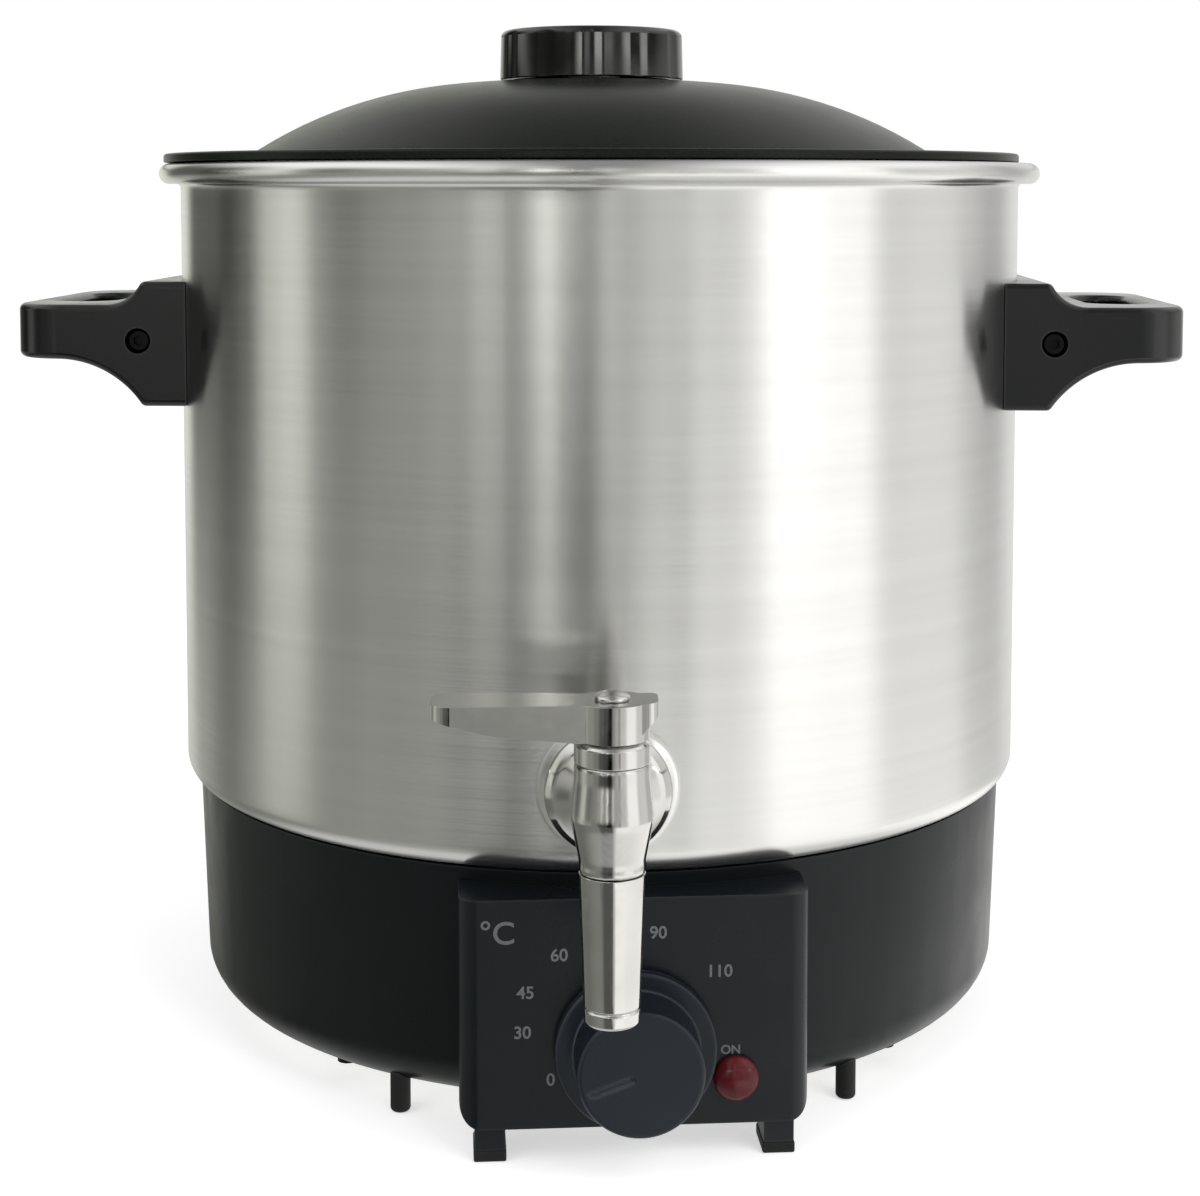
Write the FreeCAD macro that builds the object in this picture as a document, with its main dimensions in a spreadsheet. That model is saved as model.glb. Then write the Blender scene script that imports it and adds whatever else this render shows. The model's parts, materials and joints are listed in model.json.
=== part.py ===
import FreeCAD, Part
import Sketcher
import os
import re
from FreeCAD import Rotation, Vector

# Electric wax melter: a steel pot with a lift-off lid, a lever tap, two side handles and a heated base.
# Millimetres, +Z up, front towards -Y. Every piece is drawn about the pot's axis with the floor at Z = 0,
# and is then moved along Y so that the origin lies under the middle of the whole object.

# Every size: its name, its value and what it is. A value in quotes follows from other sizes.
SIZES = [
    ("pot_radius", 130, "outside of the pot wall"),
    ("pot_wall", 1, "pot sheet"),
    ("pot_bottom", 74, "height of the pot's underside"),
    ("pot_corner", 6, "outside radius between wall and bottom"),
    ("pot_height", 187.1, "underside of the pot to the top of its rim"),
    ("rim_width", 7.5, "rolled rim across, from the inside of the pot"),
    ("rim_round", 3.1, "radius of the rolled rim's edge"),
    ("tap_seat_radius", 22, "pressed flat seat for the tap"),
    ("tap_seat_proud", 0.6, "seat in front of the wall's foremost line"),
    ("lid_gap", 0.3, "between the rim and the lid that rests on it"),
    ("lid_shift", 2.5, "lid lies this far to the left in its play"),
    ("lid_overhang", 2.6, "lid's hem outside the pot wall"),
    ("lid_radius", "pot_radius + lid_overhang", "outside of the lid's hem"),
    ("lid_sheet", 1, "lid sheet"),
    ("lid_hem_height", 2.6, "hem at the lid's edge"),
    ("lid_hem_width", 2.2, "hem at the lid's edge"),
    ("lid_clearance", 2.8, "between the locating wall and the pot"),
    ("lid_gutter_depth", 3.8, "gutter floor below the lid's flange"),
    ("dome_height", 26.4, "top of the dome above the lid's seat"),
    ("dome_inset", 24.1, "from the lid's edge to the dome"),
    ("dome_radius", "lid_radius - dome_inset", "dome at the level of the flange"),
    ("dome_toe", 2.6, "dome's foot runs out this far in the gutter"),
    ("crown_radius", 45, "reach of the dome's flat crown"),
    ("crown_drop", 2.2, "fall of the crown to its edge"),
    ("knob_radius", 28.75, "lid knob"),
    ("knob_height", 15.9, "lid knob"),
    ("knob_lift", 0.3, "knob skirt above the dome's top"),
    ("knob_round", 3.2, "top edge of the lid knob"),
    ("knob_taper", 0.3, "knob is narrower at its foot by this"),
    ("knob_crown", 0.8, "rise of the knob's top"),
    ("knob_skirt_wall", 4.2, "wall round the hollow underside"),
    ("knob_boss_radius", 8, "boss round the insert"),
    ("knob_top_wall", 7, "solid top of the knob"),
    ("knob_flute_radius", 9, "cutter of the finger flutes"),
    ("knob_flute_depth", 0.9, "finger flutes"),
    ("knob_flutes", 12, "number of finger flutes"),
    ("insert_radius", 4.2, "brass insert"),
    ("insert_length", 8, "brass insert"),
    ("knob_screw_radius", 2.4, "lid knob screw"),
    ("knob_screw_head", 4.6, "radius of its head"),
    ("knob_screw_head_height", 2.8, "its head"),
    ("knob_screw_length", 9.5, "its shank"),
    ("washer_height", 0.8, "washer under the knob's boss"),
    ("screw_play", 0.2, "between a screw and a plain hole, on the radius"),
    ("fit_gap", 0.05, "between pieces that fit in each other, on the radius"),
    ("handle_turn", -4, "handles turned on the pot, in degrees"),
    ("handle_width", 94, "handle along the pot wall"),
    ("handle_reach", 46, "grip's outside in front of the pot wall"),
    ("handle_root_reach", 5, "root's outside in front of the pot wall"),
    ("handle_drop", 35.3, "handle's highest line below the rim"),
    ("handle_root_top", "pot_bottom + pot_height - handle_drop", "highest line of the handle"),
    ("handle_root_height", 37.5, "handle at the wall"),
    ("handle_root_low", "handle_root_top - handle_root_height", "lowest line of the handle"),
    ("grip_top_drop", 7, "grip below the handle's highest line"),
    ("grip_top", "handle_root_top - grip_top_drop", "top of the grip"),
    ("grip_height", 16.4, "grip"),
    ("grip_low", "grip_top - grip_height", "underside of the grip"),
    ("handle_corner", 16, "corner of the handle seen from above"),
    ("handle_flare", 26, "reach of the curve under the grip"),
    ("handle_top_flare", 11, "reach of the rise towards the root"),
    ("handle_edge", 2, "rounded edges of the handle"),
    ("finger_slot_width", 16.5, "opening in the grip"),
    ("finger_slot_length", 51, "opening in the grip"),
    ("grip_bar", 8.5, "bar outside the opening"),
    ("bracket_sheet", 2, "handle bracket"),
    ("bracket_length", 72, "handle bracket along the wall"),
    ("bracket_reach", 11, "bracket's ears in front of the pot wall"),
    ("bracket_rise", 11.7, "bracket's lower edge above the handle's"),
    ("bracket_low", "handle_root_low + bracket_rise", "handle bracket's lower edge"),
    ("bracket_height", 13, "handle bracket"),
    ("bracket_play", 1, "between the bracket and the handle's pocket"),
    ("handle_screw_radius", 2, "handle screw"),
    ("handle_screw_head", 3.6, "its head"),
    ("handle_screw_head_height", 2.4, "its head"),
    ("handle_screw_sunk", 3.6, "recess for its head"),
    ("handle_screw_length", 12, "its shank"),
    ("handle_screw_reach", 6, "screw's axis in front of the pot wall"),
    ("handle_screw_rise", 8, "screw's axis above the bracket's lower edge"),
    ("handle_screw_height", "bracket_low + handle_screw_rise", "screw's axis"),
    ("base_inset", 4, "base shell's top inside the pot wall"),
    ("base_top_radius", "pot_radius - base_inset", "base shell under the pot"),
    ("base_taper", 1.8, "shell is narrower by this where its edge starts to round"),
    ("base_low_radius", "base_top_radius - base_taper", "base shell where its edge starts to round"),
    ("base_low", 20, "height where the edge starts to round"),
    ("base_tuck", 9.2, "reach of the rounded lower edge"),
    ("base_foot_radius", "base_low_radius - base_tuck", "underside of the base shell"),
    ("base_bottom", 8.5, "height of the base shell's underside"),
    ("base_wall", 2.6, "base shell"),
    ("base_gap", 0.3, "between the shell's top and the pot's underside"),
    ("base_flange", 11, "shell's bottom flange"),
    ("base_lip", "base_foot_radius - base_flange", "inside of the shell's bottom flange"),
    ("ledge_reach", 11.4, "ledge inside the shell's wall"),
    ("ledge_radius", "base_top_radius - base_wall - ledge_reach", "inside of the ledge that carries the pot"),
    ("ledge_thick", 2.8, "ledge"),
    ("seal_height", 2.8, "seal ring between ledge and pot"),
    ("seal_inset", 1, "seal ring from the ledge's edge"),
    ("seal_inside", "ledge_radius + seal_inset", "seal ring"),
    ("seal_play", 0.9, "seal ring from the shell's wall"),
    ("seal_outside", "base_top_radius - base_wall - seal_play", "seal ring"),
    ("housing_turn", 3, "base turned on the pot, in degrees"),
    ("box_width", 92, "control box"),
    ("box_proud", 9, "control box front before the shell's top"),
    ("box_front", "base_top_radius + box_proud", "control box front, from the pot's axis"),
    ("box_low", 9, "underside of the control box"),
    ("box_drop", 4, "control box below the pot"),
    ("box_top", "pot_bottom - box_drop", "top of the control box"),
    ("box_wall", 2.5, "control box"),
    ("box_round", 5, "upright corners of the control box"),
    ("box_toe_round", 6, "lower corners of the front"),
    ("box_depth", 32, "control box before it is fitted to the shell"),
    ("window_width", 76, "window in the shell behind the box"),
    ("window_low", 14, "window in the shell behind the box"),
    ("window_height", 46, "window in the shell behind the box"),
    ("foot_spread", 38, "block foot's middle from the box's middle"),
    ("foot_width", 8, "block foot"),
    ("foot_depth", 12, "block foot, front to back"),
    ("foot_inset", 1.2, "block foot behind the box front"),
    ("foot_pad_height", 3, "rubber pad of a block foot"),
    ("foot_pad_grow", 0.3, "rubber pad wider than its foot, each side"),
    ("peg_out", 3, "peg feet outside the shell's underside"),
    ("peg_circle", "base_foot_radius + peg_out", "peg feet from the pot's axis"),
    ("peg_radius", 2.8, "peg foot"),
    ("peg_tip", 1.2, "rounded tip of a peg foot"),
    ("peg_angle", 31.7, "peg feet from front and back, in degrees"),
    ("peg_length", 14, "peg foot before it is fitted to the shell"),
    ("dial_height", 30, "height of the dial's axis"),
    ("dial_gap", 0.8, "between the panel and the dial"),
    ("dial_skirt_radius", 21.2, "dial skirt"),
    ("dial_skirt_height", 3, "dial skirt"),
    ("dial_cap_radius", 16.4, "dial cap at its foot"),
    ("dial_cap_taper", 0.7, "cap is narrower at its face by this"),
    ("dial_depth", 18.6, "face of the dial in front of the panel"),
    ("dial_face_round", 1.4, "edge of the dial's face"),
    ("dial_wall", 2.4, "dial walls"),
    ("dial_boss_radius", 6, "boss round the shaft"),
    ("dial_line_width", 1.6, "pointer line"),
    ("dial_line_depth", 0.5, "pointer line"),
    ("dial_stop", 110, "pointer at rest, to the left of upright, in degrees"),
    ("shaft_radius", 3, "thermostat shaft"),
    ("shaft_end_gap", 3, "end of the shaft behind the dial's face"),
    ("shaft_socket", 10, "shaft inside the thermostat"),
    ("thermostat_width", 30, "thermostat body"),
    ("thermostat_depth", 24, "thermostat body"),
    ("thermostat_bush", 6, "radius of its threaded bush"),
    ("thermostat_screw_spread", 14, "thermostat screws from the shaft"),
    ("thermostat_screw_radius", 1.5, "thermostat screw"),
    ("thermostat_screw_head", 2.7, "its head"),
    ("thermostat_screw_head_height", 1.4, "its head"),
    ("thermostat_screw_length", 7, "its shank"),
    ("lamp_inset", 19.7, "lamp from the control box's side"),
    ("lamp_across", "box_width / 2 - lamp_inset", "lamp from the dial's axis"),
    ("lamp_drop", 8.6, "lamp below the dial's axis"),
    ("lamp_height", "dial_height - lamp_drop", "height of the lamp's axis"),
    ("lens_radius", 5.6, "indicator lens"),
    ("lens_depth", 3.6, "indicator lens in front of the panel"),
    ("lens_edge", 1.2, "rim of the lens"),
    ("lens_neck", 4.4, "radius of the neck in the panel"),
    ("lens_neck_length", 7, "neck behind the panel's face"),
    ("lens_wall", 1, "indicator lens"),
    ("lamp_radius", 3, "neon lamp holder's front"),
    ("lamp_length", 22, "lamp holder"),
    ("push_nut_radius", 7.5, "push nut behind the panel"),
    ("push_nut_sheet", 1.2, "push nut"),
    ("heater_plate_inset", 30, "heating plate inside the pot wall"),
    ("heater_plate_radius", "pot_radius - heater_plate_inset", "heating plate"),
    ("heater_plate_height", 6, "heating plate"),
    ("element_inset", 28, "tubular element from the plate's edge"),
    ("element_ring", "heater_plate_radius - element_inset", "middle of the tubular element"),
    ("element_radius", 4, "tubular element"),
    ("element_gap", 30, "opening of the element's ring, in degrees"),
    ("element_pin_length", 14, "element's cold ends"),
    ("bridge_over", 12, "bridge beyond the element, each side"),
    ("bridge_length", "2 * (element_ring + bridge_over)", "element bridge"),
    ("bridge_width", 16, "element bridge"),
    ("bridge_sheet", 2.5, "element bridge"),
    ("stud_radius", 3, "centre stud"),
    ("stud_end", 2.2, "height of the stud's lower end"),
    ("nut_radius", 5.8, "nuts on the centre stud, across corners"),
    ("nut_height", 4, "nuts on the centre stud"),
    ("cover_inset", 2.5, "bottom cover inside the shell's underside"),
    ("cover_radius", "base_foot_radius - cover_inset", "bottom cover"),
    ("cover_sheet", 1.5, "bottom cover"),
    ("cover_screw_inset", 3, "cover screws from the cover's edge"),
    ("cover_screw_circle", "cover_radius - cover_screw_inset", "bottom cover screws"),
    ("cover_screw_radius", 1.5, "bottom cover screw"),
    ("cover_screw_head", 3, "its head"),
    ("cover_screw_head_height", 1.8, "its head"),
    ("cover_screws", 4, "number of bottom cover screws"),
    ("vent_length", 34, "vent slot"),
    ("vent_width", 4, "vent slot"),
    ("vent_reach", 45, "vent slot's inner end from the axis"),
    ("vents", 12, "number of vent slots"),
    ("cutout_radius", 8, "thermal cutout"),
    ("cutout_height", 9, "thermal cutout"),
    ("cutout_across", 34, "thermal cutout from the middle"),
    ("bulb_radius", 3, "thermostat bulb"),
    ("bulb_length", 52, "thermostat bulb"),
    ("bulb_across", 8, "thermostat bulb from the middle"),
    ("capillary_radius", 0.9, "capillary tube"),
    ("bulb_front", 60, "bulb's front end before the middle"),
    ("capillary_inset", 21, "capillary tube's last stretch behind the panel"),
    ("capillary_front", "box_front - capillary_inset", "capillary tube's last stretch before the middle"),
    ("capillary_bend", 8, "bend of the capillary tube"),
    ("terminal_width", 36, "terminal block"),
    ("terminal_depth", 16, "terminal block"),
    ("terminal_height", 18, "terminal block"),
    ("terminal_back", 62, "terminal block behind the middle"),
    ("terminal_bore", 2, "wire holes of the terminal block"),
    ("terminal_pitch", 12, "wire holes of the terminal block"),
    ("earth_tag_length", 26, "earth tag"),
    ("earth_tag_width", 9, "earth tag"),
    ("earth_tag_sheet", 1, "earth tag"),
    ("gland_height", 30, "height of the cord gland's axis"),
    ("gland_bore", 3.8, "cord gland"),
    ("gland_neck", 6.4, "gland in the shell's hole"),
    ("gland_flange", 9.5, "gland's flange"),
    ("gland_flange_sheet", 3, "gland's flange"),
    ("gland_nose", 6, "gland's nose at its end"),
    ("gland_nose_length", 6.5, "gland behind its flange"),
    ("gland_inside", 9, "gland's neck inside the flange"),
    ("gland_nut_height", 4, "gland nut"),
    ("tap_rise", 23.5, "tap's inlet above the pot's underside"),
    ("tap_height", "pot_bottom + tap_rise", "height of the tap's inlet"),
    ("tap_reach", 45, "spout's axis in front of the pot wall"),
    ("shank_radius", 8, "threaded shank through the wall"),
    ("shank_inside", 14, "shank inside the wall's outside"),
    ("tap_hole_play", 0.3, "between the shank and the pot's hole"),
    ("tap_flange_radius", 16.8, "tap's wall flange"),
    ("tap_flange_sheet", 3, "tap's wall flange"),
    ("gasket_radius", 15, "tap gaskets"),
    ("gasket_sheet", 2, "tap gaskets"),
    ("tap_nut_radius", 13.5, "tap lock nut across corners"),
    ("tap_nut_height", 5, "tap lock nut"),
    ("tap_pipe_radius", 6.8, "pipe between flange and valve"),
    ("inlet_bore", 4.6, "bore of the inlet"),
    ("valve_radius", 10.3, "valve's widest part"),
    ("valve_neck", 8.1, "valve's foot, where the spout joins"),
    ("valve_top_radius", 9.2, "valve's top"),
    ("valve_drop", 7.5, "valve's underside below the inlet's axis"),
    ("valve_low", "tap_height - valve_drop", "underside of the valve"),
    ("valve_rise", 19.5, "valve's top above the inlet's axis"),
    ("valve_top", "tap_height + valve_rise", "top of the valve"),
    ("plug_radius", 5.5, "plug"),
    ("plug_floor", 1.6, "floor under the plug"),
    ("port_radius", 3.4, "port in the plug"),
    ("stem_radius", 3, "stem of the plug"),
    ("bonnet_height", 5.6, "bonnet"),
    ("bonnet_edge", 1.2, "bonnet's upper edge"),
    ("stem_play", 0.08, "between stem and bonnet, on the radius"),
    ("seal_wire", 0.95, "radius of the stem seal's wire"),
    ("lever_gap", 0.3, "between the bonnet and the lever"),
    ("lever_hub_radius", 9, "lever's hub"),
    ("lever_rise", 15, "lever's top above the valve"),
    ("lever_top", "valve_top + lever_rise", "top of the lever"),
    ("lever_length", 43.4, "lever's tip from the spout's axis"),
    ("lever_tail", 11, "lever's tail on the other side"),
    ("lever_width", 15.5, "lever"),
    ("lever_tip_thick", 3.4, "lever at its tip"),
    ("lever_mid_thick", 7, "lever a third of the way in"),
    ("cap_radius", 4.3, "lever's cap screw"),
    ("cap_rise", 2.4, "cap screw above the lever"),
    ("cap_shank", 1.5, "cap screw's shank"),
    ("cap_shank_length", 8, "cap screw's shank"),
    ("spout_length", 37, "spout below the valve"),
    ("spout_low", "valve_low - spout_length", "mouth of the spout"),
    ("spout_tip_radius", 6.8, "spout at its mouth"),
    ("spout_bore", 4.5, "bore of the spout"),
    ("spout_bore_length", 30, "bore of the spout"),
    ("spout_groove", 0.35, "groove above the lip"),
    ("spout_lip", 3.6, "lip below the groove"),
]
NAMES = {name for name, value, note in SIZES}

doc = FreeCAD.newDocument("wax_melter")
sheet = doc.addObject("Spreadsheet::Sheet", "Sizes")
for row, (name, value, note) in enumerate(SIZES, 1):
    sheet.set(f"A{row}", name)
    sheet.set(f"B{row}", f"={value}")
    sheet.set(f"C{row}", note)
    sheet.setAlias(f"B{row}", name)
doc.recompute()


# ---- How sizes reach the document ----


def tied(text):
    """The expression with every size's name led back to its cell."""
    return re.sub(r"[a-z][a-z_]*", lambda word: "Sizes." + word[0] if word[0] in NAMES else word[0], str(text))


def number(text):
    """What the expression is worth now."""
    return float(sheet.evalExpression(tied(text)))


def bind(thing, **sizes):
    """Ties properties of an object to expressions."""
    for prop, text in sizes.items():
        thing.setExpression(prop.replace("__", "."), tied(text))


def put(thing, place):
    """Ties an object's position to three expressions."""
    for letter, text in zip("xyz", place):
        if str(text) != "0":
            thing.setExpression(f"Placement.Base.{letter}", tied(text))


# ---- Sketched pieces ----


def chain(sketch, corners):
    """Draws a closed outline. A corner is (across, up), or (across, up, radius, turn) where an arc leads on:
    turn is 1 for an arc that bends left and -1 for one that bends right."""
    spots = [Vector(number(corner[0]), number(corner[1]), 0) for corner in corners]
    ends = []
    for i, corner in enumerate(corners):
        here, there = spots[i], spots[(i + 1) % len(corners)]
        if len(corner) == 2:
            sketch.addGeometry(Part.LineSegment(here, there))
            ends.append((1, 2))
            continue
        radius, turn = number(corner[2]), corner[3]
        half = (there - here) / 2
        rise = max(radius**2 - half.Length**2, 0) ** 0.5
        side = Vector(-half.y, half.x, 0).normalize() * turn
        middle = here + half + side * rise
        first, last = (here, there) if turn > 0 else (there, here)
        start = (first - middle).getAngle(Vector(1, 0, 0)) * (1 if first.y >= middle.y else -1)
        stop = (last - middle).getAngle(Vector(1, 0, 0)) * (1 if last.y >= middle.y else -1)
        circle = Part.Circle(middle, Vector(0, 0, 1), radius)
        sketch.addGeometry(Part.ArcOfCircle(circle, start, stop))
        ends.append((1, 2) if turn > 0 else (2, 1))
    for i, corner in enumerate(corners):
        after = (i + 1) % len(corners)
        sketch.addConstraint(Sketcher.Constraint("Coincident", i, ends[i][1], after, ends[after][0]))
        for text, kind, axis in ((corner[0], "DistanceX", -2), (corner[1], "DistanceY", -1)):
            if str(text) == "0":
                sketch.addConstraint(Sketcher.Constraint("PointOnObject", i, ends[i][0], axis))
                continue
            made = sketch.addConstraint(Sketcher.Constraint(kind, -1, 1, i, ends[i][0], number(text)))
            sketch.setExpression(f"Constraints[{made}]", tied(text))
        if len(corner) > 2:
            made = sketch.addConstraint(Sketcher.Constraint("Radius", i, number(corner[2])))
            sketch.setExpression(f"Constraints[{made}]", tied(corner[2]))


def sketch_on(body, plane, corners, start="0"):
    """A sketch on one of the body's origin planes, moved out by start."""
    sketch = body.newObject("Sketcher::SketchObject", "outline")
    side = [face for face in body.Origin.OriginFeatures if face.Role == plane][0]
    sketch.AttachmentSupport = [(side, "")]
    sketch.MapMode = "FlatFace"
    if start != "0":
        sketch.setExpression("AttachmentOffset.Base.z", tied(start))
    chain(sketch, corners)
    return sketch


def turned(name, corners):
    """A piece turned about Z from an outline of (radius, height)."""
    body = doc.addObject("PartDesign::Body", name)
    sketch = sketch_on(body, "XZ_Plane", corners)
    turning = body.newObject("PartDesign::Revolution", "turning")
    turning.Profile = sketch
    turning.ReferenceAxis = (sketch, ["V_Axis"])
    turning.Angle = 360
    sketch.Visibility = False
    return body


def padded(name, plane, corners, start, length):
    """A piece of constant section: XY_Plane grows up from start, XZ_Plane grows towards -Y from -start."""
    body = doc.addObject("PartDesign::Body", name)
    sketch = sketch_on(body, plane, corners, start)
    pad = body.newObject("PartDesign::Pad", "pad")
    pad.Profile = sketch
    bind(pad, Length=length)
    return body


def edge_arc(aside, along):
    """Radius of an arc that leaves a straight line smoothly and is aside of it after going along."""
    return f"((({aside})^2 + ({along})^2) / (2 * ({aside})))"


# ---- Plain pieces and how they are joined ----

TOWARDS = {
    "up": Rotation(),
    "front": Rotation(Vector(1, 0, 0), 90),
    "back": Rotation(Vector(1, 0, 0), -90),
    "right": Rotation(Vector(0, 1, 0), 90),
    "left": Rotation(Vector(0, 1, 0), -90),
    "front then down": Rotation(Vector(1, 0, 1), 180),
}


def rod(radius, length, place=(0, 0, 0), towards="up"):
    """A cylinder that starts at place."""
    piece = doc.addObject("Part::Cylinder", "rod")
    bind(piece, Radius=radius, Height=length)
    piece.Placement.Rotation = TOWARDS[towards]
    put(piece, place)
    return piece


def block(length, width, height, place):
    """A box with its middle over place, and its underside there."""
    piece = doc.addObject("Part::Box", "block")
    bind(piece, Length=length, Width=width, Height=height)
    across, along, up = place
    put(piece, (f"{across} - ({length}) / 2", f"{along} - ({width}) / 2", up))
    return piece


def hexagon(radius, height, place=(0, 0, 0), towards="up"):
    """A six-sided bar; radius reaches its corners."""
    piece = doc.addObject("Part::Prism", "hexagon")
    piece.Polygon = 6
    bind(piece, Circumradius=radius, Height=height)
    piece.Placement.Rotation = TOWARDS[towards]
    put(piece, place)
    return piece


def ring(middle, wire, place):
    """A ring of round wire about Z."""
    piece = doc.addObject("Part::Torus", "ring")
    bind(piece, Radius1=middle, Radius2=wire)
    put(piece, place)
    return piece


def union(*pieces):
    joined = doc.addObject("Part::MultiFuse", "union")
    joined.Shapes = list(pieces)
    return joined


def minus(base, *tools):
    cut = doc.addObject("Part::Cut", "cut")
    cut.Base = base
    cut.Tool = tools[0] if len(tools) == 1 else union(*tools)
    return cut


def both(first, second):
    shared = doc.addObject("Part::Common", "shared")
    shared.Base = first
    shared.Tool = second
    return shared


def group(*pieces):
    together = doc.addObject("Part::Compound", "group")
    together.Links = list(pieces)
    return together


def moved(piece, place=(0, 0, 0), towards="up", spin=None):
    """The piece set down at place. spin turns it about the pot's axis, in degrees."""
    holder = group(piece)
    holder.Placement.Rotation = TOWARDS[towards]
    put(holder, place)
    if spin is None:
        return holder
    turntable = group(holder)
    turntable.setExpression("Placement.Rotation.Angle", tied(spin))
    return turntable


def is_sharp(shape, edge):
    """Whether the two faces at the middle of an edge meet at a clear angle."""
    middle = edge.valueAt((edge.FirstParameter + edge.LastParameter) / 2)
    normals = [face.normalAt(*face.Surface.parameter(middle)) for face in shape.ancestorsOfType(edge, Part.Face)]
    return len(normals) == 2 and normals[0].getAngle(normals[1]) > 0.3


def rounded(piece, radius, beyond):
    """The piece with its sharp edges rounded where they reach further along X than beyond."""
    doc.recompute()
    size, limit = number(radius), number(beyond)
    fillet = doc.addObject("Part::Fillet", "rounding")
    fillet.Base = piece
    fillet.Edges = [
        (i, size, size) for i, edge in enumerate(piece.Shape.Edges, 1)
        if edge.BoundBox.XMax > limit and is_sharp(piece.Shape, edge)
    ]
    return fillet


# ---- The nodes ----

NODES = []
POT_AXIS = "(pot_radius + tap_reach + valve_radius - (pot_radius - pot_wall + rim_width)) / 2"


def node(name, *pieces, of=""):
    """One named sub-part, brought from the pot's axis into the object's frame. Pieces of the base are turned
    with it, and those of the lid lie to one side with it."""
    whole = group(*pieces)
    whole.Label = name
    bind(whole, Placement__Base__y=POT_AXIS)
    if of == "base":
        bind(whole, Placement__Rotation__Angle="housing_turn")
    if of == "lid":
        bind(whole, Placement__Base__x="-lid_shift")
    NODES.append(whole)


# ---- Pot ----

RIM_TOP = "(pot_bottom + pot_height)"
RIM_MIDDLE = f"({RIM_TOP} - rim_round)"
POT_INSIDE = "(pot_radius - pot_wall)"
RIM_RADIUS = "(pot_radius - pot_wall + rim_width)"
TAP_SEAT = "(pot_radius + tap_seat_proud)"


def pot():
    """Drawn tank with a rolled rim. A flat seat for the tap is pressed out of its wall."""
    tank = turned("tank", [
        (0, "pot_bottom"),
        ("pot_radius - pot_corner", "pot_bottom", "pot_corner", 1),
        ("pot_radius", "pot_bottom + pot_corner"),
        ("pot_radius", f"{RIM_MIDDLE} - rim_round"),
        (f"{RIM_RADIUS} - rim_round", f"{RIM_MIDDLE} - rim_round", "rim_round", 1),
        (RIM_RADIUS, RIM_MIDDLE, "rim_round", 1),
        (f"{RIM_RADIUS} - rim_round", RIM_TOP),
        (f"{POT_INSIDE} + rim_round", RIM_TOP, "rim_round", 1),
        (POT_INSIDE, RIM_MIDDLE),
        (POT_INSIDE, "pot_bottom + pot_corner", "pot_corner - pot_wall", -1),
        ("pot_radius - pot_corner", "pot_bottom + pot_wall"),
        (0, "pot_bottom + pot_wall"),
    ])
    inside = rod(POT_INSIDE, "pot_height", (0, 0, "pot_bottom"))
    before_wall = (0, "-pot_radius + tap_seat_radius / 3", "tap_height")
    seat = minus(rod("tap_seat_radius", "tap_seat_radius / 3 + tap_seat_proud", before_wall, "front"), inside)
    hollow = rod("tap_seat_radius - pot_wall", "tap_seat_radius / 3 + tap_seat_proud - pot_wall", before_wall, "front")
    hole = rod("shank_radius + tap_hole_play", "pot_radius / 2", (0, "-pot_radius + 20", "tap_height"), "front")
    node("pot", minus(union(tank, seat), hollow, hole))


# ---- Lid ----

LID_SEAT = f"({RIM_TOP} + lid_gap)"
DOME_TOP = f"({LID_SEAT} + dome_height)"
CROWN_ARC = "((crown_radius^2 + crown_drop^2) / (2 * crown_drop))"
DOME_RUN = "(dome_radius - crown_radius)"
DOME_FALL = "(dome_height - crown_drop - lid_sheet)"
SHOULDER_ARC = (
    f"(({DOME_RUN}^2 + {DOME_FALL}^2)"
    f" / (2 * ({DOME_FALL} * (1 - crown_drop / {CROWN_ARC}) - {DOME_RUN} * crown_radius / {CROWN_ARC})))"
)


def lid_shell():
    """Pressed lid: hemmed flange on the rim, locating wall and gutter inside it, and a dome of two tangent arcs."""
    flange = f"({LID_SEAT} + lid_sheet)"
    gutter = f"({flange} - lid_gutter_depth)"
    wall = f"({POT_INSIDE} - lid_clearance)"
    shell = turned("lid_pressing", [
        (0, DOME_TOP, CROWN_ARC, -1),
        ("crown_radius", f"{DOME_TOP} - crown_drop", SHOULDER_ARC, -1),
        ("dome_radius", flange),
        ("dome_radius + dome_toe", gutter),
        (f"{wall} - lid_sheet", gutter),
        (f"{wall} - lid_sheet", flange),
        ("lid_radius - lid_hem_width", flange),
        ("lid_radius - lid_hem_width + 0.4", f"{LID_SEAT} + lid_hem_height"),
        ("lid_radius - lid_hem_height / 2", f"{LID_SEAT} + lid_hem_height", "lid_hem_height / 2", -1),
        ("lid_radius", f"{LID_SEAT} + lid_hem_height / 2"),
        ("lid_radius", LID_SEAT),
        (wall, LID_SEAT),
        (wall, f"{gutter} - lid_sheet"),
        ("dome_radius + dome_toe - lid_sheet", f"{gutter} - lid_sheet"),
        ("dome_radius - lid_sheet", f"{flange} - lid_sheet / 2", f"{SHOULDER_ARC} - lid_sheet", 1),
        ("crown_radius", f"{DOME_TOP} - crown_drop - lid_sheet", CROWN_ARC, 1),
        (0, f"{DOME_TOP} - lid_sheet"),
    ])
    hole = rod("knob_screw_radius + screw_play", "dome_height", (0, 0, LID_SEAT))
    node("lid_shell", minus(shell, hole), of="lid")


KNOB_LOW = f"({DOME_TOP} + knob_lift)"
KNOB_TOP = f"({KNOB_LOW} + knob_height)"
BOSS_LOW = f"({DOME_TOP} + washer_height)"


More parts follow.
